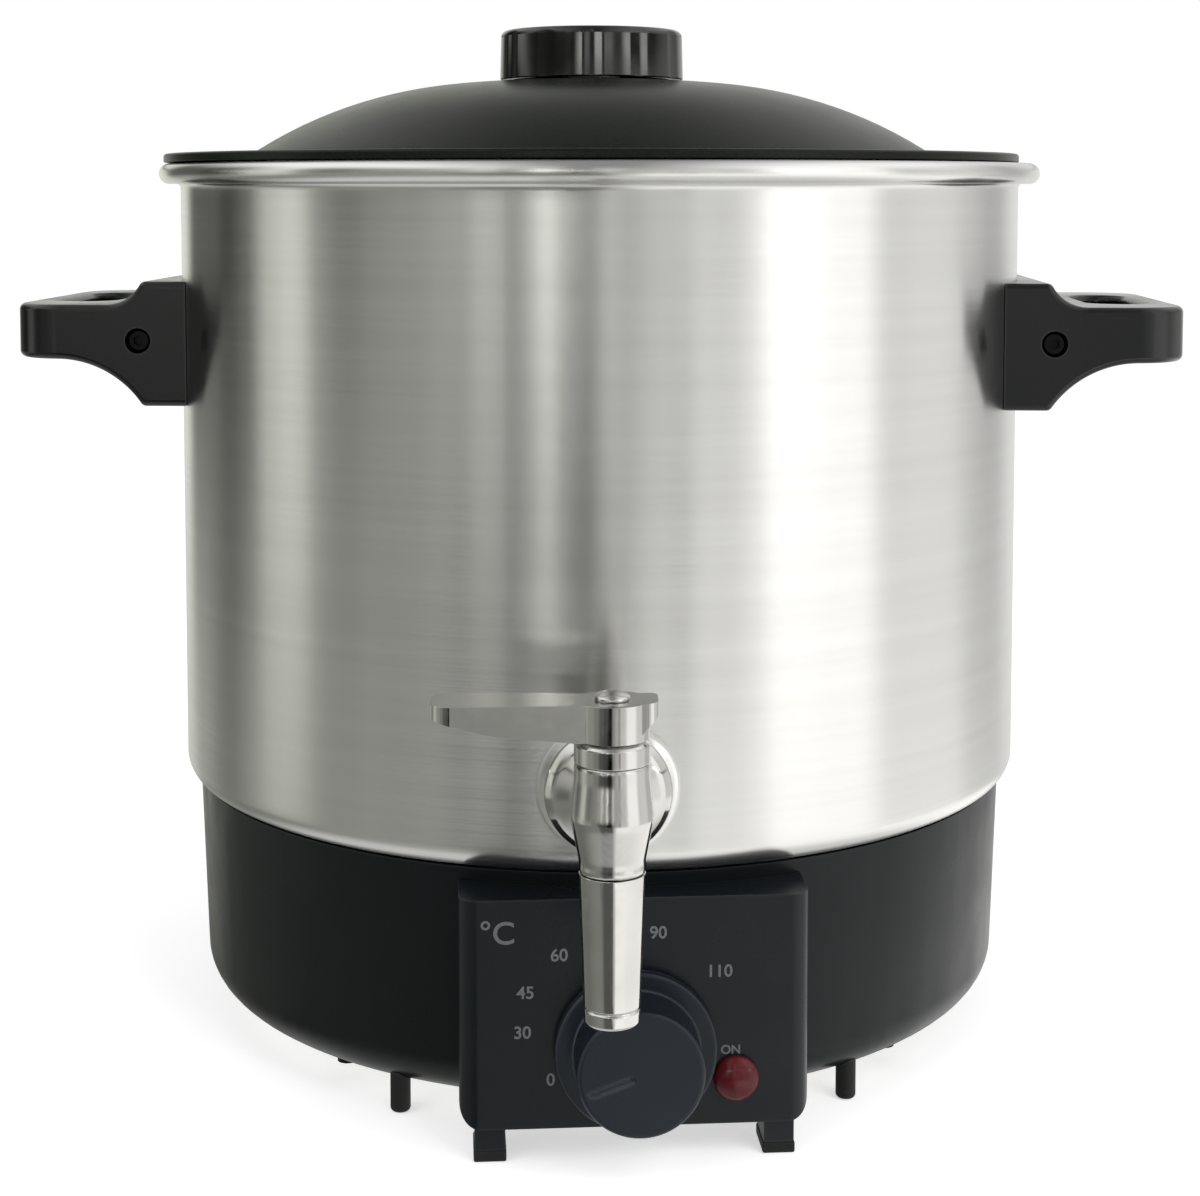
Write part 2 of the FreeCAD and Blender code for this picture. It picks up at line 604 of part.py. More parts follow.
def lid_knob():
    """Moulded knob, hollow underneath, with a boss for the insert and shallow finger flutes."""
    hollow_top = f"({KNOB_TOP} - knob_top_wall)"
    insert_top = f"({BOSS_LOW} + insert_length)"
    body = turned("knob_moulding", [
        ("insert_radius + fit_gap", BOSS_LOW),
        ("knob_boss_radius", BOSS_LOW),
        ("knob_boss_radius", hollow_top),
        ("knob_radius - knob_taper - knob_skirt_wall", hollow_top),
        ("knob_radius - knob_taper - knob_skirt_wall", KNOB_LOW),
        ("knob_radius - knob_taper", KNOB_LOW),
        ("knob_radius", f"{KNOB_TOP} - knob_crown - knob_round", "knob_round", 1),
        ("knob_radius - knob_round", f"{KNOB_TOP} - knob_crown"),
        (0, KNOB_TOP),
        (0, f"{insert_top} + fit_gap"),
        ("insert_radius + fit_gap", f"{insert_top} + fit_gap"),
    ])
    count = int(number("knob_flutes"))
    reach = "(knob_radius + knob_flute_radius - knob_flute_depth)"
    flutes = [
        rod("knob_flute_radius", "2 * knob_height",
            (f"{reach} * cos({i * 360 / count})", f"{reach} * sin({i * 360 / count})", f"{KNOB_LOW} - 1"))
        for i in range(count)
    ]
    node("lid_knob", minus(body, *flutes), of="lid")
    node("lid_knob_insert", minus(
        rod("insert_radius", "insert_length", (0, 0, BOSS_LOW)),
        rod("knob_screw_radius + fit_gap", "insert_length", (0, 0, BOSS_LOW))), of="lid")
    node("lid_knob_washer", minus(
        rod("knob_boss_radius + 1", "washer_height", (0, 0, DOME_TOP)),
        rod("knob_screw_radius + screw_play", "washer_height", (0, 0, DOME_TOP))), of="lid")
    head_top = f"({DOME_TOP} - lid_sheet - fit_gap)"
    node("lid_knob_screw", union(
        rod("knob_screw_radius", "knob_screw_length", (0, 0, head_top)),
        rod("knob_screw_head", "knob_screw_head_height", (0, 0, f"{head_top} - knob_screw_head_height"))), of="lid")


# ---- Handles ----

SCREW_OUT = "(pot_radius + handle_screw_reach)"
HANDLE_HALF = "(handle_width / 2)"


def handle_side(name, spin):
    """One handle: a loop grip on a flared root that is hollow over its bracket."""
    outside = "(pot_radius + handle_reach)"
    root = "(pot_radius + handle_root_reach)"
    plan = padded("handle_plan", "XY_Plane", [
        ("pot_radius * 0.8", f"-{HANDLE_HALF}"),
        (f"{outside} - handle_corner", f"-{HANDLE_HALF}", "handle_corner", 1),
        (outside, f"-{HANDLE_HALF} + handle_corner"),
        (outside, f"{HANDLE_HALF} - handle_corner", "handle_corner", 1),
        (f"{outside} - handle_corner", HANDLE_HALF),
        ("pot_radius * 0.8", HANDLE_HALF),
    ], "handle_root_low", "handle_root_top - handle_root_low")
    side = padded("handle_side", "XZ_Plane", [
        ("pot_radius * 0.8", "handle_root_low"),
        (root, "handle_root_low", edge_arc("grip_low - handle_root_low", "handle_flare"), -1),
        (f"{root} + handle_flare", "grip_low"),
        (outside, "grip_low"),
        (outside, "grip_top"),
        (f"{root} + handle_top_flare", "grip_top", edge_arc("handle_root_top - grip_top", "handle_top_flare"), -1),
        (root, "handle_root_top"),
        ("pot_radius * 0.8", "handle_root_top"),
    ], f"-{HANDLE_HALF} - 1", "handle_width + 2")
    slot_middle = f"({outside} - grip_bar - finger_slot_width / 2)"
    slot_straight = "(finger_slot_length - finger_slot_width)"
    tall = "handle_root_top"
    loop = minus(
        both(plan, side),
        block("finger_slot_width", slot_straight, tall, (slot_middle, 0, 0)),
        rod("finger_slot_width / 2", tall, (slot_middle, f"{slot_straight} / 2", 0)),
        rod("finger_slot_width / 2", tall, (slot_middle, f"-{slot_straight} / 2", 0)),
    )
    soft = rounded(loop, "handle_edge", "pot_radius * 0.95")
    pocket = block(
        "bracket_reach + bracket_play + pot_radius * 0.2", "bracket_length + 2 * bracket_play",
        "bracket_height + 2 * bracket_play",
        ("pot_radius * 0.9 + (bracket_reach + bracket_play) / 2", 0, "bracket_low - bracket_play"))
    drill = rod("handle_screw_radius + screw_play", "handle_width + 2",
                (SCREW_OUT, f"-{HANDLE_HALF} - 1", "handle_screw_height"), "back")
    sinks = [
        rod("handle_screw_head + screw_play", "handle_screw_sunk + 1",
            (SCREW_OUT, f"{side_of} * ({HANDLE_HALF} + 1)", "handle_screw_height"), way)
        for side_of, way in ((-1, "back"), (1, "front"))
    ]
    wall = rod("pot_radius + fit_gap", "2 * handle_root_top")
    piece = minus(soft, pocket, drill, *sinks, wall)
    node(name, moved(piece, spin=f"{spin} + handle_turn"))


def bracket(spin):
    """Steel strap that follows the wall, with an ear at each end for a screw."""
    low, tall = "bracket_low", "bracket_height"
    strap = both(
        minus(rod("pot_radius + bracket_sheet", tall, (0, 0, low)), rod("pot_radius + fit_gap", tall, (0, 0, low))),
        block("pot_radius", "bracket_length", tall, ("pot_radius", 0, low)))
    ears = [
        minus(
            block("pot_radius * 0.1 + bracket_reach", "bracket_sheet", tall,
                  ("pot_radius * 0.95 + bracket_reach / 2",
                   f"{side_of} * (bracket_length - bracket_sheet) / 2", low)),
            rod("pot_radius + fit_gap", "2 * handle_root_top"),
            rod("handle_screw_radius + fit_gap", "handle_width",
                (SCREW_OUT, f"-{HANDLE_HALF}", "handle_screw_height"), "back"))
        for side_of in (-1, 1)
    ]
    return moved(union(strap, *ears), spin=f"{spin} + handle_turn")


def handle_screw(side_of, spin):
    """Screw with a sunk round head; side_of is -1 at the front end and 1 at the back."""
    way = "back" if side_of < 0 else "front"
    seat = f"({HANDLE_HALF} - handle_screw_sunk)"
    shank = rod("handle_screw_radius", "handle_screw_length",
                (SCREW_OUT, f"{side_of} * {seat}", "handle_screw_height"), way)
    head = rod("handle_screw_head", "handle_screw_head_height",
               (SCREW_OUT, f"{side_of} * ({seat} + handle_screw_head_height)", "handle_screw_height"), way)
    return moved(union(shank, head), spin=f"{spin} + handle_turn")


def handles():
    handle_side("handle_right", 0)
    handle_side("handle_left", 180)
    node("handle_brackets", bracket(0), bracket(180))
    node("handle_screws", *[handle_screw(side_of, spin) for spin in (0, 180) for side_of in (-1, 1)])


# ---- Base ----

BASE_TOP = "(pot_bottom - base_gap)"
LEDGE_TOP = "(pot_bottom - seal_height)"


def base_envelope(grow):
    """A solid with the outer surface of the base shell, larger by grow, that also runs below and above it."""
    return turned("base_envelope", [
        (0, "base_bottom - 6"),
        (f"base_foot_radius + {grow}", "base_bottom - 6"),
        (f"base_foot_radius + {grow}", "base_bottom",
         edge_arc("base_low_radius - base_foot_radius", "base_low - base_bottom"), 1),
        (f"base_low_radius + {grow}", "base_low"),
        (f"base_top_radius + {grow}", BASE_TOP),
        (f"base_top_radius + {grow}", f"{BASE_TOP} + 20"),
        (0, f"{BASE_TOP} + 20"),
    ])


def base_shell():
    """Moulded shell: tapered wall, rounded lower edge, bottom flange, and a ledge that carries the pot."""
    inner_foot = "(base_foot_radius - 1)"
    outer_arc = edge_arc("base_low_radius - base_foot_radius", "base_low - base_bottom")
    inner_arc = edge_arc(f"base_low_radius - base_wall - {inner_foot}", "base_low - base_bottom - base_wall")
    shell = turned("base_moulding", [
        ("base_lip", "base_bottom"),
        ("base_foot_radius", "base_bottom", outer_arc, 1),
        ("base_low_radius", "base_low"),
        ("base_top_radius", BASE_TOP),
        ("base_top_radius - base_wall", BASE_TOP),
        ("base_top_radius - base_wall", LEDGE_TOP),
        ("ledge_radius", LEDGE_TOP),
        ("ledge_radius", f"{LEDGE_TOP} - ledge_thick"),
        ("base_top_radius - base_wall - 0.4", f"{LEDGE_TOP} - ledge_thick - 8"),
        ("base_low_radius - base_wall", "base_low", inner_arc, -1),
        (inner_foot, "base_bottom + base_wall"),
        ("base_lip", "base_bottom + base_wall"),
    ])
    window = block("window_width", "60", "window_height", (0, "-base_top_radius", "window_low"))
    gland_hole = rod("gland_neck + fit_gap", "40", (0, "base_low_radius - 20", "gland_height"), "back")
    pilots = [rod("cover_screw_radius + fit_gap", "base_wall + 2", place) for place in cover_screw_places("base_bottom - 1")]
    node("base_shell", minus(shell, window, gland_hole, *pilots), of="base")
    node("base_seal_ring", minus(
        rod("seal_outside", "seal_height", (0, 0, LEDGE_TOP)),
        rod("seal_inside", "seal_height", (0, 0, LEDGE_TOP))), of="base")


def cover_screw_places(height):
    count = int(number("cover_screws"))
    turns = [(i + 0.5) * 360 / count for i in range(count)]
    return [(f"cover_screw_circle * sin({turn})", f"cover_screw_circle * cos({turn})", height) for turn in turns]


def bottom_cover():
    """Sheet disc under the base, with vent slots, held by screws into the shell's flange."""
    low = "(base_bottom - cover_sheet)"
    count = int(number("vents"))
    vents = [
        moved(block("vent_width", "vent_length", "4 * cover_sheet",
                    (0, "vent_reach + vent_length / 2", f"{low} - cover_sheet")), spin=(i + 0.5) * 360 / count)
        for i in range(count)
    ]
    holes = [rod("cover_screw_radius + screw_play", "4 * cover_sheet", place)
             for place in cover_screw_places(f"{low} - cover_sheet")]
    middle = rod("stud_radius + screw_play", "4 * cover_sheet", (0, 0, f"{low} - cover_sheet"))
    node("bottom_cover", minus(rod("cover_radius", "cover_sheet", (0, 0, low)), middle, *holes, *vents), of="base")
    head_low = f"({low} - cover_screw_head_height)"
    node("bottom_cover_screws", *[
        union(rod("cover_screw_head", "cover_screw_head_height", place),
              rod("cover_screw_radius", "cover_screw_head_height + cover_sheet + base_wall", place))
        for place in cover_screw_places(head_low)
    ], of="base")


# ---- Control box ----

PANEL = "(-box_front)"
PANEL_BACK = "(-box_front + box_wall)"
HALF_BOX = "(box_width / 2)"


def control_box():
    """Flat-fronted housing on the base, open at the back, with two block feet moulded on."""
    plan = padded("box_plan", "XY_Plane", [
        (f"-{HALF_BOX}", "-box_front + box_depth"),
        (f"-{HALF_BOX}", "-box_front + box_round", "box_round", 1),
        (f"-{HALF_BOX} + box_round", PANEL),
        (f"{HALF_BOX} - box_round", PANEL, "box_round", 1),
        (HALF_BOX, "-box_front + box_round"),
        (HALF_BOX, "-box_front + box_depth"),
    ], "box_low", "box_top - box_low")
    front = padded("box_front", "XZ_Plane", [
        (f"-{HALF_BOX} + box_toe_round", "box_low"),
        (f"{HALF_BOX} - box_toe_round", "box_low", "box_toe_round", 1),
        (HALF_BOX, "box_low + box_toe_round"),
        (HALF_BOX, "box_top"),
        (f"-{HALF_BOX}", "box_top"),
        (f"-{HALF_BOX}", "box_low + box_toe_round", "box_toe_round", 1),
    ], "box_front - box_depth - 1", "box_depth + 2")
    feet = [
        block("foot_width", "foot_depth", "box_low + box_wall - foot_pad_height",
              (f"{side_of} * foot_spread", "-box_front + foot_inset + foot_depth / 2", "foot_pad_height"))
        for side_of in (-1, 1)
    ]
    cavity = block("box_width - 2 * box_wall", "box_depth", "box_top - box_low - 2 * box_wall",
                   (0, f"{PANEL_BACK} + box_depth / 2", "box_low + box_wall"))
    through = "box_wall * 3"
    before = f"({PANEL_BACK} + box_wall)"
    shaft_hole = rod("thermostat_bush + fit_gap", through, (0, before, "dial_height"), "front")
    lamp_hole = rod("lens_neck + fit_gap", through, ("lamp_across", before, "lamp_height"), "front")
    screw_holes = [
        rod("thermostat_screw_radius + screw_play", through,
            (f"{side_of} * thermostat_screw_spread", before, "dial_height"), "front")
        for side_of in (-1, 1)
    ]
    hollow = minus(both(plan, front), cavity)
    node("control_box", minus(union(hollow, *feet), base_envelope("2 * fit_gap"), shaft_hole, lamp_hole, *screw_holes),
         of="base")
    node("front_foot_pads", *[
        block("foot_width + 2 * foot_pad_grow", "foot_depth + 2 * foot_pad_grow", "foot_pad_height",
              (f"{side_of} * foot_spread", "-box_front + foot_inset + foot_depth / 2", 0))
        for side_of in (-1, 1)
    ], of="base")


def peg_feet():
    """Round pegs with soft tips that grow out of the shell's rounded lower edge."""
    pegs = []
    envelope = base_envelope("fit_gap")
    for turn in ("-peg_angle", "peg_angle", "180 - peg_angle", "180 + peg_angle"):
        peg = turned("peg", [
            (0, 0),
            ("peg_radius - peg_tip", 0, "peg_tip", 1),
            ("peg_radius", "peg_tip"),
            ("peg_radius", "peg_length"),
            (0, "peg_length"),
        ])
        stand = moved(peg, (0, "-peg_circle", 0), spin=turn)
        pegs.append(minus(stand, envelope))
    node("peg_feet", *pegs, of="base")


# ---- Dial, thermostat and lamp ----


def on_panel(piece, across="0", height="dial_height"):
    """A piece turned about Z, stood out of the panel's face towards the front."""
    return moved(piece, (across, PANEL, height), "front")


def dial():
    """Moulded dial: wide skirt, tapered cap, hollow behind with a boss on the shaft, and a pointer line."""
    face = "(dial_cap_radius - dial_cap_taper)"
    skirt_top = "(dial_gap + dial_skirt_height)"
    inside = "(dial_cap_radius - dial_wall)"
    shaft_end = "(dial_depth - shaft_end_gap)"
    body = turned("dial_moulding", [
        ("shaft_radius + fit_gap", "dial_gap + 1.2"),
        ("dial_boss_radius", "dial_gap + 1.2"),
        ("dial_boss_radius", "dial_depth - dial_wall"),
        (f"{inside} - dial_cap_taper", "dial_depth - dial_wall"),
        (inside, f"{skirt_top} - 0.8"),
        ("dial_skirt_radius - dial_wall", f"{skirt_top} - 0.8"),
        ("dial_skirt_radius - dial_wall", "dial_gap"),
        ("dial_skirt_radius", "dial_gap"),
        ("dial_skirt_radius", f"{skirt_top} - 1", "1", 1),
        ("dial_skirt_radius - 1", skirt_top),
        ("dial_cap_radius", skirt_top),
        (face, "dial_depth - dial_face_round", "dial_face_round", 1),
        (f"{face} - dial_face_round", "dial_depth"),
        (0, "dial_depth"),
        (0, f"{shaft_end} + fit_gap"),
        ("shaft_radius + fit_gap", f"{shaft_end} + fit_gap"),
    ])
    line = block("dial_line_width", f"{face} - 2", "dial_line_depth * 2",
                 (0, f"{face} / 2 + 1", "dial_depth - dial_line_depth"))
    marked = minus(body, moved(line, spin="dial_stop"))
    node("dial_knob", on_panel(marked), of="base")
    shaft_start = "(-box_wall - shaft_socket)"
    shaft = rod("shaft_radius", f"{shaft_end} - {shaft_start}", (0, 0, shaft_start))
    node("thermostat_shaft", on_panel(shaft), of="base")


def thermostat():
    """Thermostat behind the panel: square body, bush through the panel, screws and two tabs."""
    body = block("thermostat_width", "thermostat_width", "thermostat_depth", (0, 0, "-box_wall - thermostat_depth"))
    bush = rod("thermostat_bush", "box_wall + 0.4", (0, 0, "-box_wall"))
    tabs = [
        block("6.3", "0.8", "8", (f"{side_of} * thermostat_width / 4", 0, "-box_wall - thermostat_depth - 8"))
        for side_of in (-1, 1)
    ]
    bore = rod("shaft_radius + fit_gap", "shaft_socket + box_wall + 2", (0, 0, "-box_wall - shaft_socket - fit_gap"))
    taps = [
        rod("thermostat_screw_radius + fit_gap", "thermostat_screw_length",
            (f"{side_of} * thermostat_screw_spread", 0, "-thermostat_screw_length"))
        for side_of in (-1, 1)
    ]
    node("thermostat_body", on_panel(minus(union(body, bush, *tabs), bore, *taps)), of="base")
    screws = [
        on_panel(union(
            rod("thermostat_screw_head", "thermostat_screw_head_height"),
            rod("thermostat_screw_radius", "thermostat_screw_length - fit_gap",
                (0, 0, "-thermostat_screw_length + fit_gap"))),
            f"{side_of} * thermostat_screw_spread")
        for side_of in (-1, 1)
    ]
    node("thermostat_screws", *screws, of="base")


def lamp():
    """Red lens through the panel, the neon holder in its neck and the push nut that holds both."""
    lens = turned("lens_moulding", [
        ("lens_neck - lens_wall", "-lens_neck_length"),
        ("lens_neck", "-lens_neck_length"),
        ("lens_neck", 0),
        ("lens_radius", 0),
        ("lens_radius", "lens_edge", edge_arc("lens_depth - lens_edge", "lens_radius"), 1),
        (0, "lens_depth"),
        (0, "lens_depth - lens_wall * 1.5"),
        ("lens_neck - lens_wall", "0"),
    ])
    node("indicator_lens", on_panel(lens, "lamp_across", "lamp_height"), of="base")
    holder = union(
        rod("lamp_radius", "lamp_length", (0, 0, "-lamp_length")),
        rod("lens_neck", "lamp_length - lens_neck_length", (0, 0, "-lamp_length - fit_gap")))
    node("indicator_lamp", on_panel(holder, "lamp_across", "lamp_height"), of="base")
    nut = minus(
        rod("push_nut_radius", "push_nut_sheet", (0, 0, "-box_wall - push_nut_sheet")),
        rod("lens_neck + fit_gap", "push_nut_sheet", (0, 0, "-box_wall - push_nut_sheet")))
    node("indicator_push_nut", on_panel(nut, "lamp_across", "lamp_height"), of="base")


# ---- Heating ----

PLATE_LOW = "(pot_bottom - heater_plate_height)"
ELEMENT_LOW = f"({PLATE_LOW} - 2 * element_radius - fit_gap)"
COVER_LOW = "(base_bottom - cover_sheet)"


def heating():
    """Plate under the pot, a tubular element pressed on it by a bridge, and the stud that ties all to the base."""
    stud_hole = rod("stud_radius + fit_gap", "heater_plate_height", (0, 0, PLATE_LOW))
    node("heating_plate", minus(rod("heater_plate_radius", "heater_plate_height", (0, 0, PLATE_LOW)), stud_hole))
    middle = f"({PLATE_LOW} - element_radius - fit_gap)"
    tube = ring("element_ring", "element_radius", (0, 0, middle))
    bind(tube, Angle3="360 - element_gap")
    pins = [
        rod("element_radius", "element_pin_length",
            (f"element_ring * cos({turn})", f"element_ring * sin({turn})", f"{middle} - element_pin_length"))
        for turn in ("0", "360 - element_gap")
    ]
    coil = union(tube, *pins)
    node("heating_element", moved(coil, spin="270 + element_gap / 2"))
    bridge = minus(
        block("bridge_length", "bridge_width", "bridge_sheet", (0, 0, f"{ELEMENT_LOW} - bridge_sheet")),
        rod("stud_radius + screw_play", "bridge_sheet", (0, 0, f"{ELEMENT_LOW} - bridge_sheet")))
    node("element_bridge", bridge)
    node("centre_stud", rod("stud_radius", "pot_bottom - stud_end", (0, 0, "stud_end")))
    nuts = [
        minus(hexagon("nut_radius", "nut_height", (0, 0, low)), rod("stud_radius + fit_gap", "nut_height", (0, 0, low)))
        for low in (f"({ELEMENT_LOW} - bridge_sheet - earth_tag_sheet - nut_height)", f"({COVER_LOW} - nut_height)")
    ]
    node("stud_nuts", *nuts)
    tag_low = f"({ELEMENT_LOW} - bridge_sheet - earth_tag_sheet)"
    tag = minus(
        block("earth_tag_width", "earth_tag_length", "earth_tag_sheet", (0, "earth_tag_length / 2 - nut_radius", tag_low)),
        rod("stud_radius + screw_play", "earth_tag_sheet", (0, 0, tag_low)))
    node("earth_tag", tag)


def controls_below_plate():
    """Thermal cutout and thermostat bulb under the plate, the capillary tube, and the terminal block."""
    cutout_low = f"({PLATE_LOW} - cutout_height)"
    can = rod("cutout_radius", "cutout_height", ("-cutout_across", "cutout_across", cutout_low))
    tabs = [
        block("0.8", "6.3", "8", (f"-cutout_across + {side_of} * cutout_radius / 2", "cutout_across", f"{cutout_low} - 8"))
        for side_of in (-1, 1)
    ]
    node("thermal_cutout", union(can, *tabs))
    bulb_height = f"({PLATE_LOW} - bulb_radius - fit_gap)"
    bulb = rod("bulb_radius", "bulb_length", ("bulb_across", "-bulb_front + bulb_length", bulb_height), "front")
    node("thermostat_bulb", bulb, of="base")
    bend_start = "(capillary_front - capillary_bend)"
    bend_low = f"({bulb_height} - capillary_bend)"
    along = rod("capillary_radius", f"{bend_start} - bulb_front", ("bulb_across", "-bulb_front", bulb_height), "front")
    bend = ring("capillary_bend", "capillary_radius", (0, 0, 0))
    bend.Angle3 = 90
    thermostat_top = "(dial_height + thermostat_width / 2)"
    down = rod("capillary_radius", f"{bend_low} - {thermostat_top}",
               ("bulb_across", "-capillary_front", thermostat_top))
    node("capillary_tube", union(
        along, moved(bend, ("bulb_across", f"-{bend_start}", bend_low), "front then down"), down), of="base")


def terminals():
    """Terminal block on the bottom cover, with a row of wire holes."""
    body = block("terminal_width", "terminal_depth", "terminal_height", (0, "terminal_back", "base_bottom"))
    holes = [
        rod("terminal_bore", "2 * terminal_depth",
            (f"{i} * terminal_pitch", "terminal_back - terminal_depth", "base_bottom + terminal_height / 2"), "back")
        for i in (-1, 0, 1)
    ]
    node("terminal_block", minus(body, *holes), of="base")


def cord_inlet():
    """Gland for the supply lead: flange outside the shell, neck through it, nut inside."""
    upper_edge = "(gland_height + gland_flange - base_low)"
    taper = f"(base_top_radius - base_low_radius) / ({BASE_TOP} - base_low)"
    shell_face = f"(base_low_radius + {upper_edge} * {taper} + fit_gap)"
    gland = turned("gland_moulding", [
        ("gland_bore", "-gland_inside"),
        ("gland_neck", "-gland_inside"),
        ("gland_neck", 0),
        ("gland_flange", 0),
        ("gland_flange", "gland_flange_sheet"),
        ("gland_neck + 0.8", "gland_flange_sheet"),
        ("gland_nose", "gland_flange_sheet + gland_nose_length"),
        ("gland_bore", "gland_flange_sheet + gland_nose_length"),
    ])
    node("cord_gland", moved(gland, (0, shell_face, "gland_height"), "back"), of="base")
    nut_back = "sqrt((base_low_radius - base_wall)^2 - gland_flange^2)"
    nut = minus(
        hexagon("gland_flange", "gland_nut_height", (0, nut_back, "gland_height"), "front"),
        rod("gland_neck + fit_gap", "gland_nut_height", (0, nut_back, "gland_height"), "front"))
    node("gland_nut", nut, of="base")


# ---- Tap ----

TAP_AXIS = "(pot_radius + tap_reach)"
FLANGE_BACK = "(tap_seat_proud + gasket_sheet)"


def from_wall(piece):
    """A piece turned about Z, laid along the tap's inlet with Z = 0 at the pot wall and Z to the front."""
    return moved(piece, (0, "-pot_radius", "tap_height"), "front")


def at_spout(piece):
    """A piece turned about Z, stood on the spout's axis."""
    return moved(piece, (0, f"-{TAP_AXIS}", 0))


def tap_body():
    """Chromed casting: threaded shank, wall flange, pipe and an upright valve chamber."""
    flange_front = f"({FLANGE_BACK} + tap_flange_sheet)"
    inlet = turned("tap_inlet", [
        (0, "-shank_inside"),
        ("shank_radius", "-shank_inside"),
        ("shank_radius", FLANGE_BACK),
        ("tap_flange_radius", FLANGE_BACK),
        ("tap_flange_radius", f"{flange_front} - 1.4", "1.4", 1),
        ("tap_flange_radius - 1.4", flange_front),
        ("tap_pipe_radius + 2.4", f"{flange_front} + 0.8", "3", -1),
        ("tap_pipe_radius", f"{flange_front} + 3.6"),
        ("tap_pipe_radius", "tap_reach"),
        (0, "tap_reach"),
    ])
    bulge = "(tap_height + 6)"
    chamber = turned("tap_chamber", [
        (0, "valve_low"),
        ("valve_neck", "valve_low"),
        ("valve_neck", "valve_low + 3", "12", -1),
        ("valve_radius", bulge, "14", 1),
        ("valve_top_radius", "valve_top - 4"),
        ("valve_top_radius", "valve_top"),
        (0, "valve_top"),
    ])
    floor = "(valve_low + plug_floor)"
    bores = [
        at_spout(rod("plug_radius + fit_gap", "valve_top", (0, 0, floor))),
        at_spout(rod("spout_bore - 0.5", "valve_top", (0, 0, "valve_low - 1"))),
        from_wall(rod("inlet_bore", "tap_reach + shank_inside + 1", (0, 0, "-shank_inside - 1"))),
    ]
    node("tap_body", minus(union(from_wall(inlet), at_spout(chamber)), *bores))


def tap_fixings():
    """Gaskets on both sides of the pot wall and the lock nut in the tank."""
    def washer(start, sheet):
        return from_wall(minus(
            rod("gasket_radius", sheet, (0, 0, start)), rod("shank_radius + fit_gap", sheet, (0, 0, start))))

    node("tap_outer_gasket", washer("tap_seat_proud", "gasket_sheet"))
    inner_face = "(tap_seat_proud - pot_wall)"
    node("tap_inner_gasket", washer(f"{inner_face} - gasket_sheet", "gasket_sheet"))
    nut_low = f"({inner_face} - gasket_sheet - tap_nut_height)"
    node("tap_lock_nut", from_wall(minus(
        hexagon("tap_nut_radius", "tap_nut_height", (0, 0, nut_low)),
        rod("shank_radius + fit_gap", "tap_nut_height", (0, 0, nut_low)))))


BONNET_TOP = "(valve_top + bonnet_height)"


def tap_upper():
    """Bonnet and stem seal on the valve, and the plug, lever and cap screw that turn together."""
    seal_room = "(2 * seal_wire + 0.1)"
    seal_middle = "(stem_radius + stem_play + seal_wire)"
    bonnet = turned("bonnet", [
        (f"{seal_middle} + seal_wire + 0.1", "valve_top"),
        ("valve_top_radius", "valve_top"),
        ("valve_top_radius", f"{BONNET_TOP} - bonnet_edge"),
        ("valve_top_radius - bonnet_edge", BONNET_TOP),
        ("stem_radius + stem_play", BONNET_TOP),
        ("stem_radius + stem_play", f"valve_top + {seal_room}"),
        (f"{seal_middle} + seal_wire + 0.1", f"valve_top + {seal_room}"),
    ])
    node("tap_bonnet", at_spout(bonnet))
    node("tap_stem_seal", at_spout(ring(seal_middle, "seal_wire", (0, 0, f"valve_top + {seal_room} / 2"))))

    plug_low = "(valve_low + plug_floor + 0.1)"
    plug_top = "(valve_top - 0.1)"
    stem_top = "(lever_top - 0.5)"
    plug = turned("plug", [
        (0, plug_low),
        ("plug_radius", plug_low),
        ("plug_radius", plug_top),
        ("stem_radius", plug_top),
        ("stem_radius", stem_top),
        (0, stem_top),
    ])
    side_port = rod("port_radius", "plug_radius + 1", (0, 0, "tap_height"), "right")
    down_port = rod("port_radius", f"tap_height - {plug_low} + 1", (0, 0, f"{plug_low} - 1"))
    cap_hole = rod("cap_shank + fit_gap", "cap_shank_length + 1", (0, 0, f"{stem_top} - cap_shank_length"))
    node("tap_plug", at_spout(minus(plug, side_port, down_port, cap_hole)))


def tap_lever():
    """Flat lever to the left of its hub, thinner towards the tip, with a short raised tail on the right."""
    low = f"({BONNET_TOP} + lever_gap)"
    half = "(lever_width / 2)"
    plan = padded("lever_plan", "XY_Plane", [
        ("-lever_length + 5", f"{half}", "5", 1),
        ("-lever_length", f"{half} - 5"),
        ("-lever_length", f"-{half} + 5", "5", 1),
        ("-lever_length + 5", f"-{half}"),
        ("lever_tail - 3", f"-{half} + 2", "3", 1),
        ("lever_tail", f"-{half} + 5"),
        ("lever_tail", f"{half} - 5", "3", 1),
        ("lever_tail - 3", f"{half} - 2"),
    ], f"{low} - 1", "14")
    side = padded("lever_side", "XZ_Plane", [
        ("lever_tail", "lever_top - 3"),
        ("lever_tail", "lever_top + 0.4"),
        ("cap_radius + 1", "lever_top"),
        ("-lever_length", "lever_top"),
        ("-lever_length", "lever_top - lever_tip_thick"),
        ("-lever_length * 0.67", "lever_top - lever_mid_thick"),
        ("-lever_hub_radius", low),
        ("lever_hub_radius * 0.6", low),
    ], "-lever_width", "2 * lever_width")
    hub = rod("lever_hub_radius", f"lever_top - {low}", (0, 0, low))
    hole = rod("stem_radius + fit_gap", "30", (0, 0, f"{low} - 1"))
    node("tap_lever", at_spout(minus(union(both(plan, side), hub), hole)))
    cap = turned("cap_screw", [
        (0, "lever_top - 0.5 - cap_shank_length + fit_gap"),
        ("cap_shank", "lever_top - 0.5 - cap_shank_length + fit_gap"),
        ("cap_shank", "lever_top"),
        ("cap_radius", "lever_top"),
        ("cap_radius", "lever_top + 0.8", edge_arc("cap_rise - 0.8", "cap_radius"), 1),
        (0, "lever_top + cap_rise"),
    ])
    node("tap_lever_cap", at_spout(cap))


